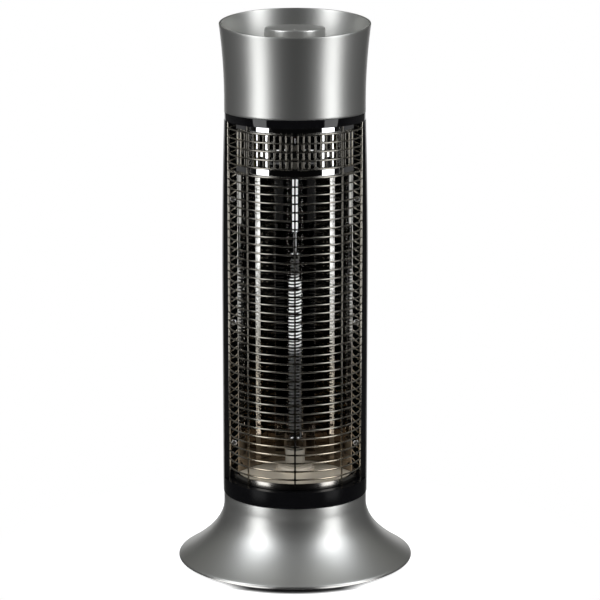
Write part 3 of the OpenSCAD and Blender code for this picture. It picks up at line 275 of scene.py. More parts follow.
def finish(name, color, metallic, roughness, mottle=0.08, mottle_size=4.0, rough_swing=0.05,
           grain=0.0, grain_size=0.3, stretch=(1, 1, 1), detail=3.0, **sockets):
    """A procedural finish: colour and roughness that drift over the surface, and a fine grain in relief."""
    mat = bpy.data.materials.new(name)
    mat.use_nodes = True
    tree = mat.node_tree
    shader = tree.nodes["Principled BSDF"]
    shader.inputs["Metallic"].default_value = metallic
    for key, value in sockets.items():
        shader.inputs[key.replace("_", " ")].default_value = value
    link = tree.links.new
    where = node_at(tree, "ShaderNodeTexCoord").outputs["Object"]
    mapping = node_at(tree, "ShaderNodeMapping")
    mapping.inputs["Scale"].default_value = stretch
    link(where, mapping.inputs["Vector"])
    drift = node_at(tree, "ShaderNodeTexNoise")
    drift.inputs["Scale"].default_value = 1 / (mottle_size * MM)
    drift.inputs["Detail"].default_value = detail
    link(mapping.outputs["Vector"], drift.inputs["Vector"])
    mix = node_at(tree, "ShaderNodeMix", data_type="RGBA")
    mix.inputs["A"].default_value = (*[c * (1 - mottle) for c in color], 1)
    mix.inputs["B"].default_value = (*[min(1, c * (1 + mottle)) for c in color], 1)
    link(drift.outputs["Fac"], mix.inputs["Factor"])
    link(mix.outputs["Result"], shader.inputs["Base Color"])
    swing = node_at(tree, "ShaderNodeMapRange")
    swing.inputs["To Min"].default_value = max(0.0, roughness - rough_swing)
    swing.inputs["To Max"].default_value = roughness + rough_swing
    link(drift.outputs["Fac"], swing.inputs["Value"])
    link(swing.outputs["Result"], shader.inputs["Roughness"])
    if grain:
        relief = node_at(tree, "ShaderNodeTexNoise")
        relief.inputs["Scale"].default_value = 1 / (grain_size * MM)
        relief.inputs["Detail"].default_value = 2.0
        link(mapping.outputs["Vector"], relief.inputs["Vector"])
        bump = node_at(tree, "ShaderNodeBump")
        bump.inputs["Strength"].default_value = 1.0
        bump.inputs["Distance"].default_value = grain * MM
        link(relief.outputs["Fac"], bump.inputs["Height"])
        link(bump.outputs["Normal"], shader.inputs["Normal"])
    return mat


def place_of(tree):
    """X, Y and Z of a point in its piece, in millimetres."""
    scale = node_at(tree, "ShaderNodeVectorMath", operation="SCALE")
    scale.inputs["Scale"].default_value = 1 / MM
    tree.links.new(node_at(tree, "ShaderNodeTexCoord").outputs["Object"], scale.inputs[0])
    split = node_at(tree, "ShaderNodeSeparateXYZ")
    tree.links.new(scale.outputs["Vector"], split.inputs[0])
    return split.outputs


def tinted(mat, color):
    """The finish with its colour multiplied by another."""
    tree = mat.node_tree
    target = tree.nodes["Principled BSDF"].inputs["Base Color"]
    tint = node_at(tree, "ShaderNodeMix", data_type="RGBA", blend_type="MULTIPLY")
    tint.inputs["Factor"].default_value = 1.0
    tree.links.new(target.links[0].from_socket, tint.inputs["A"])
    tree.links.new(color, tint.inputs["B"])
    tree.links.new(tint.outputs["Result"], target)
    return mat


def element_finish():
    """The wound element: dull, but for a stretch whose front carries a painted highlight, pale and faintly
    glowing.
    """
    mat = finish("element", (0.5, 0.5, 0.5), 0.0, 0.4, mottle=0.1, mottle_size=0.6)
    tree = mat.node_tree
    place = place_of(tree)
    # Painted highlight: the front of the turns between these heights is painted pale and given a faint glow.
    front = math_node(tree, "SUBTRACT", 1.0, step_node(tree, place["Y"], -1.5, 0.5))
    low_end, high_end = step_node(tree, place["Z"], 225, 250), step_node(tree, place["Z"], 309, 320)
    bright = math_node(tree, "MULTIPLY", front, math_node(tree, "SUBTRACT", low_end, high_end))
    shader = tree.nodes["Principled BSDF"]
    shader.inputs["Emission Color"].default_value = (1, 1, 1, 1)
    tree.links.new(math_node(tree, "MULTIPLY", bright, 0.4), shader.inputs["Emission Strength"])
    return tinted(mat, mixed_color(tree, bright, (0.16, 0.16, 0.16), (1.6, 1.6, 1.56)))


def trough_finish():
    """The bent sheet with painted reflections: its sides painted white high up and browner low down, its flat
    middle painted dark, and a painted tan reflection of the tray close above it.
    """
    mat = finish("trough_sheet", (0.5, 0.49, 0.47), 1.0, 0.05, mottle=0.03, mottle_size=20,
                 rough_swing=0.01, detail=1.0)
    tree = mat.node_tree
    place = place_of(tree)
    # Painted reflection: the sides fade from brown low down to white high up.
    height = mixed_color(tree, step_node(tree, place["Z"], 200, 300), (0.55, 0.5, 0.43), (1.0, 1.0, 1.0))
    # Painted dark reflection down the flat middle.
    aside = step_node(tree, math_node(tree, "ABSOLUTE", place["X"]), 21.4, 21.6)
    sheet = mixed_color(tree, aside, (0.03, 0.03, 0.03), height)
    # Painted reflection of the tan tray close above it.
    above_painted_tray_reflection = step_node(tree, place["Z"], 148, 152)
    return tinted(mat, mixed_color(tree, above_painted_tray_reflection, (0.6, 0.51, 0.42), sheet))


def wire_finish():
    """The fireguard's wires with painted light and shade: painted dark down the middle, painted pale at the
    sides, and painted pale tan in front of the tray, a painted reflection of it.
    """
    mat = finish("grille_chrome", (0.27, 0.255, 0.225), 1.0, 0.2, mottle=0.1, mottle_size=1.0,
                 rough_swing=0.05)
    tree = mat.node_tree
    place = place_of(tree)
    aside = math_node(tree, "ABSOLUTE", place["X"])
    # Painted reflection of the tan tray on the wires close above it.
    above_painted_tray_reflection = step_node(tree, place["Z"], 145, 165)
    middle = mixed_color(tree, above_painted_tray_reflection, (1.7, 1.58, 1.42), (1.0, 1.0, 1.0))
    # Painted light: the wires at the sides are painted pale.
    wires = mixed_color(tree, step_node(tree, aside, 52, 57), middle, (2.5, 2.5, 2.5))
    # Painted shade: the wires down the middle are painted dark.
    return tinted(mat, mixed_color(tree, step_node(tree, aside, 1.2, 4.0), (0.2, 0.2, 0.2), wires))


SILVER = (0.61, 0.61, 0.59)
SILVER_GRAIN = dict(mottle=0.05, mottle_size=0.25, rough_swing=0.02, grain=0.001, grain_size=0.35)
finishes = {
    "silver_paint": finish("silver_paint", SILVER, 0.98, 0.38, **SILVER_GRAIN),
    "gloss_black": finish("gloss_black", (0.003, 0.003, 0.0035), 0.0, 0.05, mottle=0.2, mottle_size=20,
                          rough_swing=0.02),
    "housing_black": finish("housing_black", (0.006, 0.006, 0.0065), 0.0, 0.3, mottle=0.2, mottle_size=1.5,
                            grain=0.004, grain_size=0.6, Specular_IOR_Level=0.35),
    "plate_black": finish("plate_black", (0.015, 0.015, 0.016), 0.0, 0.45, mottle=0.2, mottle_size=2,
                          grain=0.02, grain_size=0.5),
    "matte_black": finish("matte_black", (0.03, 0.03, 0.032), 0.0, 0.5, mottle=0.15, grain=0.02,
                          grain_size=0.4),
    "rubber_black": finish("rubber_black", (0.02, 0.02, 0.02), 0.0, 0.7, mottle=0.3, mottle_size=2,
                           grain=0.03, grain_size=0.3),
    "steel": finish("steel", (0.60, 0.60, 0.61), 1.0, 0.25, mottle=0.08, mottle_size=1.2, grain=0.003,
                    grain_size=0.2, stretch=(1, 1, 6)),
    "ballast_iron": finish("ballast_iron", (0.12, 0.12, 0.12), 0.9, 0.7, mottle=0.3, mottle_size=1.5,
                           grain=0.15, grain_size=0.9),
    "nylon": finish("nylon", (0.85, 0.84, 0.79), 0.0, 0.42, mottle=0.03, mottle_size=6),
    "knob_silver": finish("knob_silver", SILVER, 0.85, 0.34, **SILVER_GRAIN),
    "skirt_black": finish("skirt_black", (0.003, 0.003, 0.0035), 0.0, 0.22, mottle=0.2, mottle_size=20,
                          rough_swing=0.02, Specular_IOR_Level=0.08),
    "polished_sheet": finish("polished_sheet", (0.84, 0.84, 0.85), 1.0, 0.05, mottle=0.03, mottle_size=20,
                             rough_swing=0.01, detail=1.0),
    "trough_sheet": trough_finish(),
    "tray_tan": finish("tray_tan", (0.8, 0.72, 0.59), 0.35, 0.25, mottle=0.05, mottle_size=8,
                       rough_swing=0.03),
    "bracket_tan": finish("bracket_tan", (0.6, 0.54, 0.45), 0.3, 0.5, mottle=0.05, mottle_size=8),
    "lip_sheet": finish("lip_sheet", (0.42, 0.4, 0.37), 1.0, 0.2, mottle=0.35, mottle_size=0.8,
                        rough_swing=0.08, grain=0.02, grain_size=0.8),
    "grille_chrome": wire_finish(),
    "quartz": finish("quartz", (0.97, 0.98, 0.98), 0.0, 0.0, mottle=0.01, mottle_size=30, rough_swing=0.004,
                     Transmission_Weight=1.0, IOR=1.12, Alpha=0.3),
    "carbon": finish("carbon", (0.05, 0.05, 0.055), 0.2, 0.35, mottle=0.4, mottle_size=0.4, grain=0.02,
                     grain_size=0.15),
    "element": element_finish(),
    # Painted highlight: the lead sleeve is painted near white and given a faint glow.
    "sleeve": finish("sleeve", (0.95, 0.95, 0.93), 0.0, 0.4, mottle=0.03, Emission_Color=(1, 1, 1, 1),
                     Emission_Strength=0.5),
    "ceramic": finish("ceramic", (0.26, 0.24, 0.2), 0.0, 0.5, mottle=0.05, mottle_size=1.0, grain=0.01,
                      grain_size=0.25),
    "brass": finish("brass", (0.72, 0.56, 0.26), 1.0, 0.3, mottle=0.08, mottle_size=1.0, grain=0.004,
                    grain_size=0.2),
    "wire_insulation": finish("wire_insulation", (0.035, 0.016, 0.012), 0.0, 0.5, mottle=0.15,
                              mottle_size=0.6, grain=0.02, grain_size=0.25, stretch=(1, 1, 3)),
}
for part in frame["record"]["subparts"]:
    mesh = frame["nodes"][part["node"]].data
    mesh.materials.clear()
    mesh.materials.append(finishes[part["material_slot"]])


# Sizes that several pieces share

BODY_R = 77.9
TOP_R = 74.9
SEAM_Z = 77.5
SKIRT_Z = 95.0
TRAY_Z = 101.0
CEILING_Z = 431.0
BEZEL_Z = 484.0
COLLAR_Z = 492.6
COLLAR_TOP = 593.6
KNOB_Z = 555.0


# Base


NECK_R = 77.2
FLARE_TOP_Z = 66.6
SHELL_WALL = 2.5
RIM_X, RIM_Z, RIM_ROLL = 125, 6, 2
RIM_TURN = 58.9122
FLARE_END = (RIM_X + RIM_ROLL * math.cos(math.radians(RIM_TURN)),
             RIM_Z + RIM_ROLL * math.sin(math.radians(RIM_TURN)))
INNER_END_Z = 8.628
DECK_Z = 60
FLARE_RATE = (FLARE_END[0] - NECK_R) / (FLARE_TOP_Z - FLARE_END[1]) ** 2


def flare_point(z):
    return NECK_R + FLARE_RATE * (FLARE_TOP_Z - z) ** 2, z


def flare_inner(z):
    n = Vector((1, 2 * FLARE_RATE * (FLARE_TOP_Z - z))).normalized()
    r, z = flare_point(z)
    return r - SHELL_WALL * n.x, z - SHELL_WALL * n.y


def base_outline():
    """The silver base: a neck that flares along a parabola into a rolled rim, hollow, with deck and rail."""
    steps = 40
    outer = [flare_point(FLARE_TOP_Z + (FLARE_END[1] - FLARE_TOP_Z) * k / steps) for k in range(steps)]
    inner = [flare_inner(FLARE_TOP_Z + (INNER_END_Z - FLARE_TOP_Z) * k / steps) for k in range(steps + 1)]
    rim = arc((RIM_X, RIM_Z), RIM_ROLL, RIM_TURN, -90, 14)
    top_edge = arc((76.65, 76.45), 0.55, 90, 0, 4)
    deck = [(74.7, DECK_Z), (12.1, DECK_Z), (12.1, 63), (66, 63), (66, 74), (71, 74), (71, 63), (74.7, 63)]
    walls = [p for p in reversed(inner[:-1]) if p[1] < DECK_Z]
    foot = [(118, 4), (118, 6.5), (inner[-1][0], 6.5)]
    return top_edge + outer + rim + foot + walls + deck + [(74.7, 77)]


gland_hole = placed(prism(arc((0, 0), 6.1, 0, 345, 23), 0, 40), (0, 95, 14), 0, -90)
piece("base_shell_skin", lathe(base_outline(), 256), "base", "silver_paint", ["base_shell"], [gland_hole],
      sharp=40)
grommet = rounded([(3.5, 0), (6, 0), (6, 22), (3.5, 22)], [0.3, 0.3, 1.2, 0.8])
piece("cord_grommet", placed(lathe(grommet, 48), (0, 99, 14), 0, -90),
      "base", "rubber_black", ["cord_gland"])


# Skirt ring and upper bezel

skirt = rounded([(75.4, SEAM_Z), (BODY_R, SEAM_Z), (BODY_R, SKIRT_Z), (58, SKIRT_Z), (58, 92.5),
                 (75.4, 92.5)], [0.2, 1.5, 0.5, 0.3, 0.2, 0])
piece("skirt_ring", lathe(skirt), "column", "gloss_black", ["lower_bezel"], look="skirt_black")
bezel = rounded([(50, BEZEL_Z), (TOP_R, BEZEL_Z), (TOP_R, COLLAR_Z), (72.4, COLLAR_Z), (72.4, 487),
                 (50, 487)], [0.3, 0.5, 0.2, 0.2, 0, 0.3])
piece("black_band", lathe(bezel), "column", "gloss_black", ["upper_bezel"])


# Collar: rows of points run up the outside, over the slanted lip and down the inside


def collar_r(z):
    return TOP_R + max(0.0, z - 505) ** 2 / 1220


def collar_solid(steps=256):
    wall, lip, rise, lip_h = 2.0, 5, 40, 0.8
    verts, faces = [], []
    back_r = collar_r(COLLAR_TOP)
    tilt = math.tan(math.radians(5.4))
    for i in range(steps):
        a = TAU * i / steps
        top = COLLAR_TOP
        for _ in range(6):
            top = COLLAR_TOP - (back_r - collar_r(top) * math.sin(a)) * tilt
        shoulder = top - lip_h
        heights = [COLLAR_Z + 0.3 + (shoulder - COLLAR_Z - 0.3) * k / rise for k in range(rise + 1)]
        column = [(TOP_R - 0.3, COLLAR_Z)] + [(collar_r(z), z) for z in heights]
        outer, inner = collar_r(shoulder), collar_r(shoulder) - wall
        middle, half = (outer + inner) / 2, (outer - inner) / 2
        for k in range(1, 2 * lip):
            s = math.pi * k / (2 * lip)
            column.append((middle + half * math.cos(s), shoulder + lip_h * math.sin(s)))
        column += [(collar_r(z) - wall, z) for z in reversed(heights)] + [(TOP_R - wall, COLLAR_Z)]
        verts += [(r * math.cos(a), r * math.sin(a), z) for r, z in column]
        count = len(column)
    for i in range(steps):
        j = (i + 1) % steps
        for k in range(count):
            m = (k + 1) % count
            faces.append((i * count + k, j * count + k, j * count + m, i * count + m))
    return verts, faces


piece("collar_shell", collar_solid(), "column", "silver_paint", ["collar"], sharp=50)


# Knob: a turned cap with a pointer groove

KNOB_R = 32.3
KNOB_TOP = 581
knob = rounded([(0, KNOB_Z + 23), (29.8, KNOB_Z + 23), (29.8, KNOB_Z), (KNOB_R, KNOB_Z), (KNOB_R, KNOB_TOP),
                (0, KNOB_TOP)], [0, 1, 0.4, 0.4, 1.8, 0], 6)
stem = rounded([(3.1, 565), (7, 565), (7, 579), (3.1, 579)], 0.2)
groove = prism(rounded([(-0.8, -31.2), (0.8, -31.2), (0.8, -18.3), (-0.8, -18.3)], 0.7), 580.4, 583)
piece("knob_cap", merged([lathe(knob, 192), lathe(stem, 48)]), "knob", "silver_paint", ["knob"],
      [groove], sharp=35, look="knob_silver")


# Fireguard

WIRE_R = 0.95
WIRE_COUNT = 42
WIRE_PITCH = 9
FIRST_WIRE_Z = 108
TOP_WIRE_Z = 477
HOOD_WIRE_Z = 432.0
RING_R = 72.4
UPRIGHT_R = 70.75
SIDE_X = math.sqrt(RING_R ** 2 - 16 ** 2)
GUARD_LOW, GUARD_TOP = 92.8, 486


def ring_wire(z):
    edge = math.degrees(math.asin(16.2 / RING_R))
    path = [(x, y, z) for x, y in arc((0, 0), RING_R, 180 + edge, 360 - edge, 84)]
    return sweep(path, WIRE_R)


def upright(x, y, low, high):
    outline = rounded([(0, low), (WIRE_R, low), (WIRE_R, high), (0, high)], [0, 0.3, 0.3, 0], 2)
    return placed(lathe(outline, 12), (x, y, 0))


def front_upright(angle, low, high):
    """An upright on the round front, angle degrees from its middle."""
    a = math.radians(angle)
    return upright(UPRIGHT_R * math.sin(a), -UPRIGHT_R * math.cos(a), low, high)


def guard():
    wires = [ring_wire(FIRST_WIRE_Z + WIRE_PITCH * k) for k in range(WIRE_COUNT)]
    wires += [upright(s * SIDE_X, -16, GUARD_LOW, GUARD_TOP) for s in (-1, 1)]
    wires += [front_upright(a, GUARD_LOW, GUARD_TOP) for a in (-44.6, 44.6)]
    wires.append(front_upright(0, GUARD_LOW, HOOD_WIRE_Z + WIRE_R))
    short_low, short_top = HOOD_WIRE_Z + WIRE_PITCH - WIRE_R, TOP_WIRE_Z + WIRE_R
    for s in (-1, 1):
        for k in range(12):
            wires.append(front_upright(s * (k + 0.5) * 5, short_low, short_top))
    return merged(wires)


piece("fireguard", guard(), "column", "grille_chrome", ["front_grille"], sharp=50)


# Reflector: one bent sheet, with side flanges that run on up beside the hood

CREASES = [(61, -14), (51, 0), (42.5, 11), (37.5, 14), (31, 20.5), (26, 25), (21.5, 29), (12, 31.5)]
SHEET = 1.2


def reflector_outline():
    right = [(70.5, -14)] + CREASES
    front = [(-x, y) for x, y in right] + [(x, y) for x, y in reversed(right)]
    back = [(x, y + SHEET) for x, y in reversed(front)]
    bend = [0.25, 1.6, 0.8, 1.0, 1.0, 0.5, 0.5, 0.3, 0.3]
    return rounded(front + back, (bend + bend[::-1]) * 2, 3)


flange = rounded([(60.9, -14), (70.5, -14), (70.5, -12.8), (60.9, -12.8)], [0, 0.25, 0.25, 0], 2)
mirror_flange = [(-x, y) for x, y in flange]
piece("mirror_trough", merged([prism(reflector_outline(), 101.3, 430.7), prism(flange, 430.7, 483.7),
                               prism(mirror_flange, 430.7, 483.7)]),
      "column", "polished_sheet", ["reflector"], sharp=24, look="trough_sheet")


# Perforated hood

HOOD_R = 69.2


def slot_cutter(height):
    end = (height - 5) / 2
    outline = [(x, z + end) for x, z in arc((0, 0), 2.5, 0, 180, 10)]
    outline += [(x, z - end) for x, z in arc((0, 0), 2.5, 180, 360, 10)]
    return placed(prism(outline, 60, 75), (0, 0, 0), 0, 90)


def hood_solid():
    reach = math.degrees(math.asin(61.5 / HOOD_R))
    outline = rounded([(68.4, CEILING_Z), (HOOD_R, CEILING_Z), (HOOD_R, BEZEL_Z), (62.2, BEZEL_Z),
                       (62.2, 483), (68.4, 483)], [0.2, 0.2, 0.9, 0.2, 0.2, 0.4], 4)
    return lathe(outline, 120, 270 - reach, 270 + reach)


slots = []
for start, height in ((10, 12), (29, 16)):
    for k in range(-7, 8):
        slots.append(placed(slot_cutter(height), (0, 0, CEILING_Z + start + height / 2), k * 7.5))
piece("hood_sheet", hood_solid(), "column", "polished_sheet", ["upper_hood"], [merged(slots)],
      sharp=30, steer=0.9)


# Tray: a flat deck with two slots, and a lip that steps down and up again at its front


def tray_lip():
    edge = math.degrees(math.asin(14.3 / 62.5))
    outline = rounded([(61.5, 100), (62.5, 100), (62.5, 96), (67.8, 96), (67.8, 102.5), (68.8, 102.5),
                       (68.8, 95), (61.5, 95)], [0, 0.3, 0.8, 0.5, 0.3, 0.3, 0.8, 0.6], 3)
    return lathe(outline, 160, 180 + edge, 360 - edge)


def tray_deck():
    edge = 90 - math.degrees(math.asin(60.7 / 62.5))
    trough = [(-x, y - 0.35) for x, y in CREASES] + [(x, y - 0.35) for x, y in reversed(CREASES)]
    front = arc((0, 0), 62.4, -edge, -180 + edge, 96)
    return prism(trough + front, 100, TRAY_Z)


def stadium(x, y, length, width):
    return [(x + length / 2 - width / 2 + px, y + py) for px, py in arc((0, 0), width / 2, -90, 90, 8)] + \
           [(x - length / 2 + width / 2 + px, y + py) for px, py in arc((0, 0), width / 2, 90, 270, 8)]


tray_cuts = [prism(stadium(s * 31, -4, 20, 4), 95, 106) for s in (-1, 1)]
piece("tray_sheet", tray_deck(), "column", "polished_sheet", ["bottom_tray"], [merged(tray_cuts)], sharp=24,
      look="tray_tan")
piece("tray_lip", tray_lip(), "column", "polished_sheet", sharp=30, look="lip_sheet")


# Lamp: quartz tube, its element, caps and bracket

TUBE_R = 8.9
TUBE_WALL = 1.1
COIL_R = 6.0
COIL_NECK_R = 3.9
NECK_TURNS = 6
COIL_LOW = 141.0
COIL_TURNS = 55
COIL_PITCH = 3.5
COIL_TOP = COIL_LOW + COIL_TURNS * COIL_PITCH
COIL_WIRE_R = 0.8
BEND_R = 2


def coil_path():
    """The wound element: wide turns, narrower at the top, and a bend into its contact at each end."""
    steps = 24
    total = COIL_TURNS * steps
    bends = [(BEND_R * math.sin(math.radians(b)), BEND_R * (1 - math.cos(math.radians(b))))
             for b in (15, 30, 45, 60, 75, 90)]
    path = [(COIL_R, -2, COIL_LOW - 3.6)] + [(COIL_R, -y, COIL_LOW - z) for y, z in reversed(bends)]
    for k in range(total + 1):
        a = TAU * k / steps
        r = COIL_NECK_R + (COIL_R - COIL_NECK_R) * min(1, max(0, COIL_TURNS - NECK_TURNS - k / steps))
        path.append((r * math.cos(a), r * math.sin(a), COIL_LOW + COIL_PITCH * k / steps))
    return path + [(COIL_NECK_R, y, COIL_TOP + z) for y, z in bends] + [(COIL_NECK_R, 2, COIL_TOP + 3.6)]


piece("wound_element", sweep(coil_path(), COIL_WIRE_R), "column", "carbon", ["carbon_filament"], sharp=60,
      look="element")


def rod(r, low, high, edge=0.15):
    return lathe(rounded([(0, low), (r, low), (r, high), (0, high)], [0, edge, edge, 0], 3), 48)


piece("tube_contacts", merged([rod(7.3, 134.4, 137.4, 0.4), rod(1.2, 104, 134.4), rod(5.5, 337.1, 340.1, 0.4),
                               rod(1.9, 340.1, 363), rod(1.2, 432.2, 463.2)]),
      "column", "steel", ["filament_terminals"], sharp=50)
# Its look is a painted highlight: near white with a faint glow.
piece("lead_sleeve", rod(2.8, 363, 432.2, 0.4), "column", "steel", look="sleeve")
tube = rounded([(TUBE_R - TUBE_WALL, 106.5), (TUBE_R, 106.5), (TUBE_R, 452.2), (TUBE_R - TUBE_WALL, 452.2)],
               0.4, 3)
piece("lamp_tube", lathe(tube, 96), "column", "quartz", ["quartz_tube"])
cap = rounded([(1.3, 105), (10.5, 105), (10.5, 123), (9, 123), (9, 106.4), (1.3, 106.4)],
              [0.1, 0.6, 0.8, 0.3, 0, 0.1], 4)
piece("lower_cap", lathe(cap, 96), "column", "ceramic", ["lower_ceramic_cap"])
bracket = rounded([(1.5, TRAY_Z), (21, TRAY_Z), (21, 103), (19, 103), (18, 105), (1.5, 105)],
                  [0.1, 0.2, 0.6, 0.5, 0.6, 0.1], 4)
piece("lamp_bracket", lathe(bracket, 144), "column", "polished_sheet", ["lower_tube_bracket"],
      look="bracket_tan")


# Screws whose heads show: a domed head with a cross recess


def screw_solid(head_r, head_h, length):
    dome = [(head_r * math.sin(math.radians(a)), head_h * (0.45 + 0.55 * math.cos(math.radians(a))))
            for a in (0, 15, 30, 45, 60, 75, 90)]
    return lathe(dome + [(head_r - 0.1, 0), (1.5, 0), (1.5, -length), (0, -length)], 40)


def cross_cutter(head_r, head_h):
    arm, half = 0.62 * head_r, 0.16 * head_r
    outline = [(arm, half), (half, half), (half, arm), (-half, arm), (-half, half), (-arm, half),
               (-arm, -half), (-half, -half), (-half, -arm), (half, -arm), (half, -half), (arm, -half)]
    return prism(outline, head_h - 0.9, head_h + 1)


def screw_set(name, places, head_r, head_h, length, replaced):
    """Screws at (x, y, z, turn, tip), whose heads point along +Z before they are placed."""
    heads = [placed(screw_solid(head_r, head_h, length), p[:3], p[3], p[4]) for p in places]
    crosses = [placed(placed(cross_cutter(head_r, head_h), turn=17 * k), p[:3], p[3], p[4])
               for k, p in enumerate(places)]
    piece(name, merged(heads), "column", "steel", [replaced], [merged(crosses)], sharp=40)


screw_set("flange_screws", [(s * 66, -14, z, 0, 90) for s in (-1, 1) for z in (133.5, 267, 400.5)],
          3.2, 1.8, 6.2, "reflector_screws")
DECK_SCREW_R = 65.15
DECK_SCREW_TURN = math.radians(58)
screw_set("deck_screws", [(s * DECK_SCREW_R * math.sin(DECK_SCREW_TURN),
                           -DECK_SCREW_R * math.cos(DECK_SCREW_TURN), 96, 0, 0)
                          for s in (-1, 1)], 2.5, 1.6, 3.5, "tray_screws")


# Studio


def emission(tree, strength):
    node = node_at(tree, "ShaderNodeEmission")
    node.inputs["Color"].default_value = (1, 1, 1, 1)
    if isinstance(strength, (int, float)):
        node.inputs["Strength"].default_value = strength
    else:
        tree.links.new(strength, node.inputs["Strength"])
    return node.outputs["Emission"]


def mixed_shader(tree, factor, a, b):
    node = node_at(tree, "ShaderNodeMixShader")
    tree.links.new(factor, node.inputs[0])
    tree.links.new(a, node.inputs[1])
    tree.links.new(b, node.inputs[2])
    return node.outputs[0]


def build_floor():
    """A white floor that keeps the heater's shadow and fades into the white background. Under the front of
    the base a painted shadow darkens it, and a painted glow makes its shadow lighter to the sides.

    Metal and glass see through it, but for a bright strip on each side of the middle, close to the base.
    The lengths in its material are in metres.
    """
    floor = bare_object("floor", ([(x, y, 0) for x, y in arc((0, 0), 600, 0, 357, 119)], [tuple(range(120))]))
    mat = bpy.data.materials.new("floor_white")
    mat.use_nodes = True
    tree = mat.node_tree
    tree.nodes.clear()
    link = tree.links.new
    place = node_at(tree, "ShaderNodeTexCoord").outputs["Object"]
    length = node_at(tree, "ShaderNodeVectorMath", operation="LENGTH")
    link(place, length.inputs[0])
    split = node_at(tree, "ShaderNodeSeparateXYZ")
    link(place, split.inputs[0])
    aside = math_node(tree, "ABSOLUTE", split.outputs["X"])
    # Painted shadow: under the front of the base the floor is painted darker and its glow is taken away.
    outside_painted_shadow = math_node(tree, "MAXIMUM", step_node(tree, length.outputs["Value"], 0.122, 0.133),
                              step_node(tree, aside, 0.045, 0.08))
    diffuse = node_at(tree, "ShaderNodeBsdfDiffuse")
    link(mixed_color(tree, outside_painted_shadow, (0.15, 0.15, 0.15), (0.8, 0.8, 0.8)), diffuse.inputs["Color"])
    add = node_at(tree, "ShaderNodeAddShader")
    link(diffuse.outputs[0], add.inputs[0])
    # Painted light: the floor glows more to the sides, so its shadow is lighter there.
    side_glow = math_node(tree, "MULTIPLY_ADD", step_node(tree, aside, 0.05, 0.1), 0.3, 0.5)
    link(emission(tree, math_node(tree, "MULTIPLY", outside_painted_shadow, side_glow)), add.inputs[1])
    fade = node_at(tree, "ShaderNodeMapRange", interpolation_type="SMOOTHSTEP")
    fade.inputs["From Min"].default_value = 0.16
    fade.inputs["From Max"].default_value = 0.34
    link(length.outputs["Value"], fade.inputs["Value"])
    lit_side = math_node(tree, "SUBTRACT", step_node(tree, aside, 0.02, 0.045),
                         step_node(tree, aside, 0.08, 0.1))
    near = math_node(tree, "SUBTRACT", 1.0, step_node(tree, length.outputs["Value"], 0.15, 0.22))
    clear = node_at(tree, "ShaderNodeBsdfTransparent").outputs[0]
    reflected = mixed_shader(tree, math_node(tree, "MULTIPLY", lit_side, near), clear, emission(tree, 1.8))
    path = node_at(tree, "ShaderNodeLightPath")
    seen = math_node(tree, "MAXIMUM", path.outputs["Is Glossy Ray"], path.outputs["Is Transmission Ray"])
    seen = math_node(tree, "MAXIMUM", seen, path.outputs["Is Shadow Ray"])
    shadow = mixed_shader(tree, fade.outputs["Result"], add.outputs[0], emission(tree, 1.0))
    lit = mixed_shader(tree, path.outputs["Is Camera Ray"], diffuse.outputs[0], shadow)
    out = node_at(tree, "ShaderNodeOutputMaterial")
    link(mixed_shader(tree, seen, lit, reflected), out.inputs["Surface"])
    floor.data.materials.append(mat)


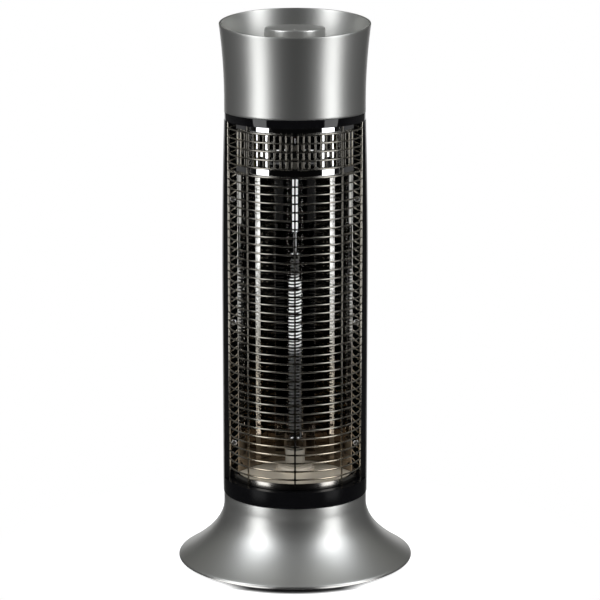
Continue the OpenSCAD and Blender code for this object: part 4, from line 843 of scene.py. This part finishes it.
def build_world():
    """White for the eye and grey for matt surfaces.

    Metal and glass see a studio that is dark in front, paler above and white low behind.
    """
    world = bpy.data.worlds.new("studio")
    scene.world = world
    world.use_nodes = True
    world.cycles.sampling_method = "NONE"
    tree = world.node_tree
    tree.nodes.clear()
    way = node_at(tree, "ShaderNodeSeparateXYZ")
    tree.links.new(node_at(tree, "ShaderNodeTexCoord").outputs["Generated"], way.inputs[0])
    back, up = way.outputs["Y"], way.outputs["Z"]
    front_tone = ramp_node(tree, up, [(-1, 0.05, 0.05, 0.05), (-0.4, 0.01, 0.01, 0.01),
                                      (-0.25, 0.002, 0.002, 0.002), (0.5, 0.003, 0.003, 0.003),
                                      (0.8, 0.015, 0.015, 0.014), (1, 0.08, 0.08, 0.077)])
    back_tone = ramp_node(tree, up, [(-1, 0.08, 0.08, 0.08), (0, 0.06, 0.06, 0.06), (0.2, 0.03, 0.03, 0.03),
                                     (0.45, 0.15, 0.15, 0.14), (1, 0.08, 0.08, 0.077)])
    studio = mixed_color(tree, step_node(tree, back, -0.3, 0.3), front_tone, back_tone)
    low = math_node(tree, "SUBTRACT", 1.0, step_node(tree, up, 0.06, 0.14))
    patch = math_node(tree, "MULTIPLY", step_node(tree, back, 0.88, 0.96), low)
    studio = mixed_color(tree, patch, studio, (1.0, 1.0, 1.0))
    path = node_at(tree, "ShaderNodeLightPath")
    color = mixed_color(tree, path.outputs["Is Diffuse Ray"], studio, (0.62, 0.62, 0.62))
    color = mixed_color(tree, path.outputs["Is Camera Ray"], color, (1.0, 1.0, 1.0))
    ground = node_at(tree, "ShaderNodeBackground")
    tree.links.new(color, ground.inputs["Color"])
    out = node_at(tree, "ShaderNodeOutputWorld")
    tree.links.new(ground.outputs[0], out.inputs["Surface"])


def softbox(name, azimuth, elevation, width, height, radiance, color):
    """A soft light that faces the heater, azimuth degrees round from the front and elevation degrees up."""
    distance = 1.6
    light = bpy.data.lights.new(name, "AREA")
    light.shape = "RECTANGLE"
    light.size = width
    light.size_y = height
    light.energy = radiance * width * height * math.pi
    light.color = color
    obj = bpy.data.objects.new(name, light)
    a, e = math.radians(azimuth), math.radians(elevation)
    obj.location = (distance * math.sin(a) * math.cos(e), -distance * math.cos(a) * math.cos(e),
                    0.3 + distance * math.sin(e))
    obj.rotation_euler = (math.radians(90) - e, 0, a)
    obj.visible_camera = False
    scene.collection.objects.link(obj)


def build_camera():
    camera = bpy.data.cameras.new("camera")
    camera.lens = 156
    camera.sensor_width = 36
    obj = bpy.data.objects.new("camera", camera)
    obj.location = (0.0053, -2.731, 0.8686)
    obj.rotation_euler = (math.radians(78), 0, 0)
    scene.collection.objects.link(obj)
    scene.camera = obj


build_camera()
build_floor()
build_world()
for side, azimuth in (("left", -58), ("right", 60)):
    softbox("softbox_" + side, azimuth, 13, 0.7, 2.3, 2.7, (0.99, 1.0, 1.01))
    softbox("softbox_high_" + side, 1.18 * azimuth, 45, 0.95, 0.95, 1.95, (0.94, 0.97, 1.02))
    softbox("softbox_top_" + side, 1.65 * azimuth, 67, 0.6, 0.7, 0.55, (0.97, 1.0, 0.98))
scene.view_settings.view_transform = "Standard"
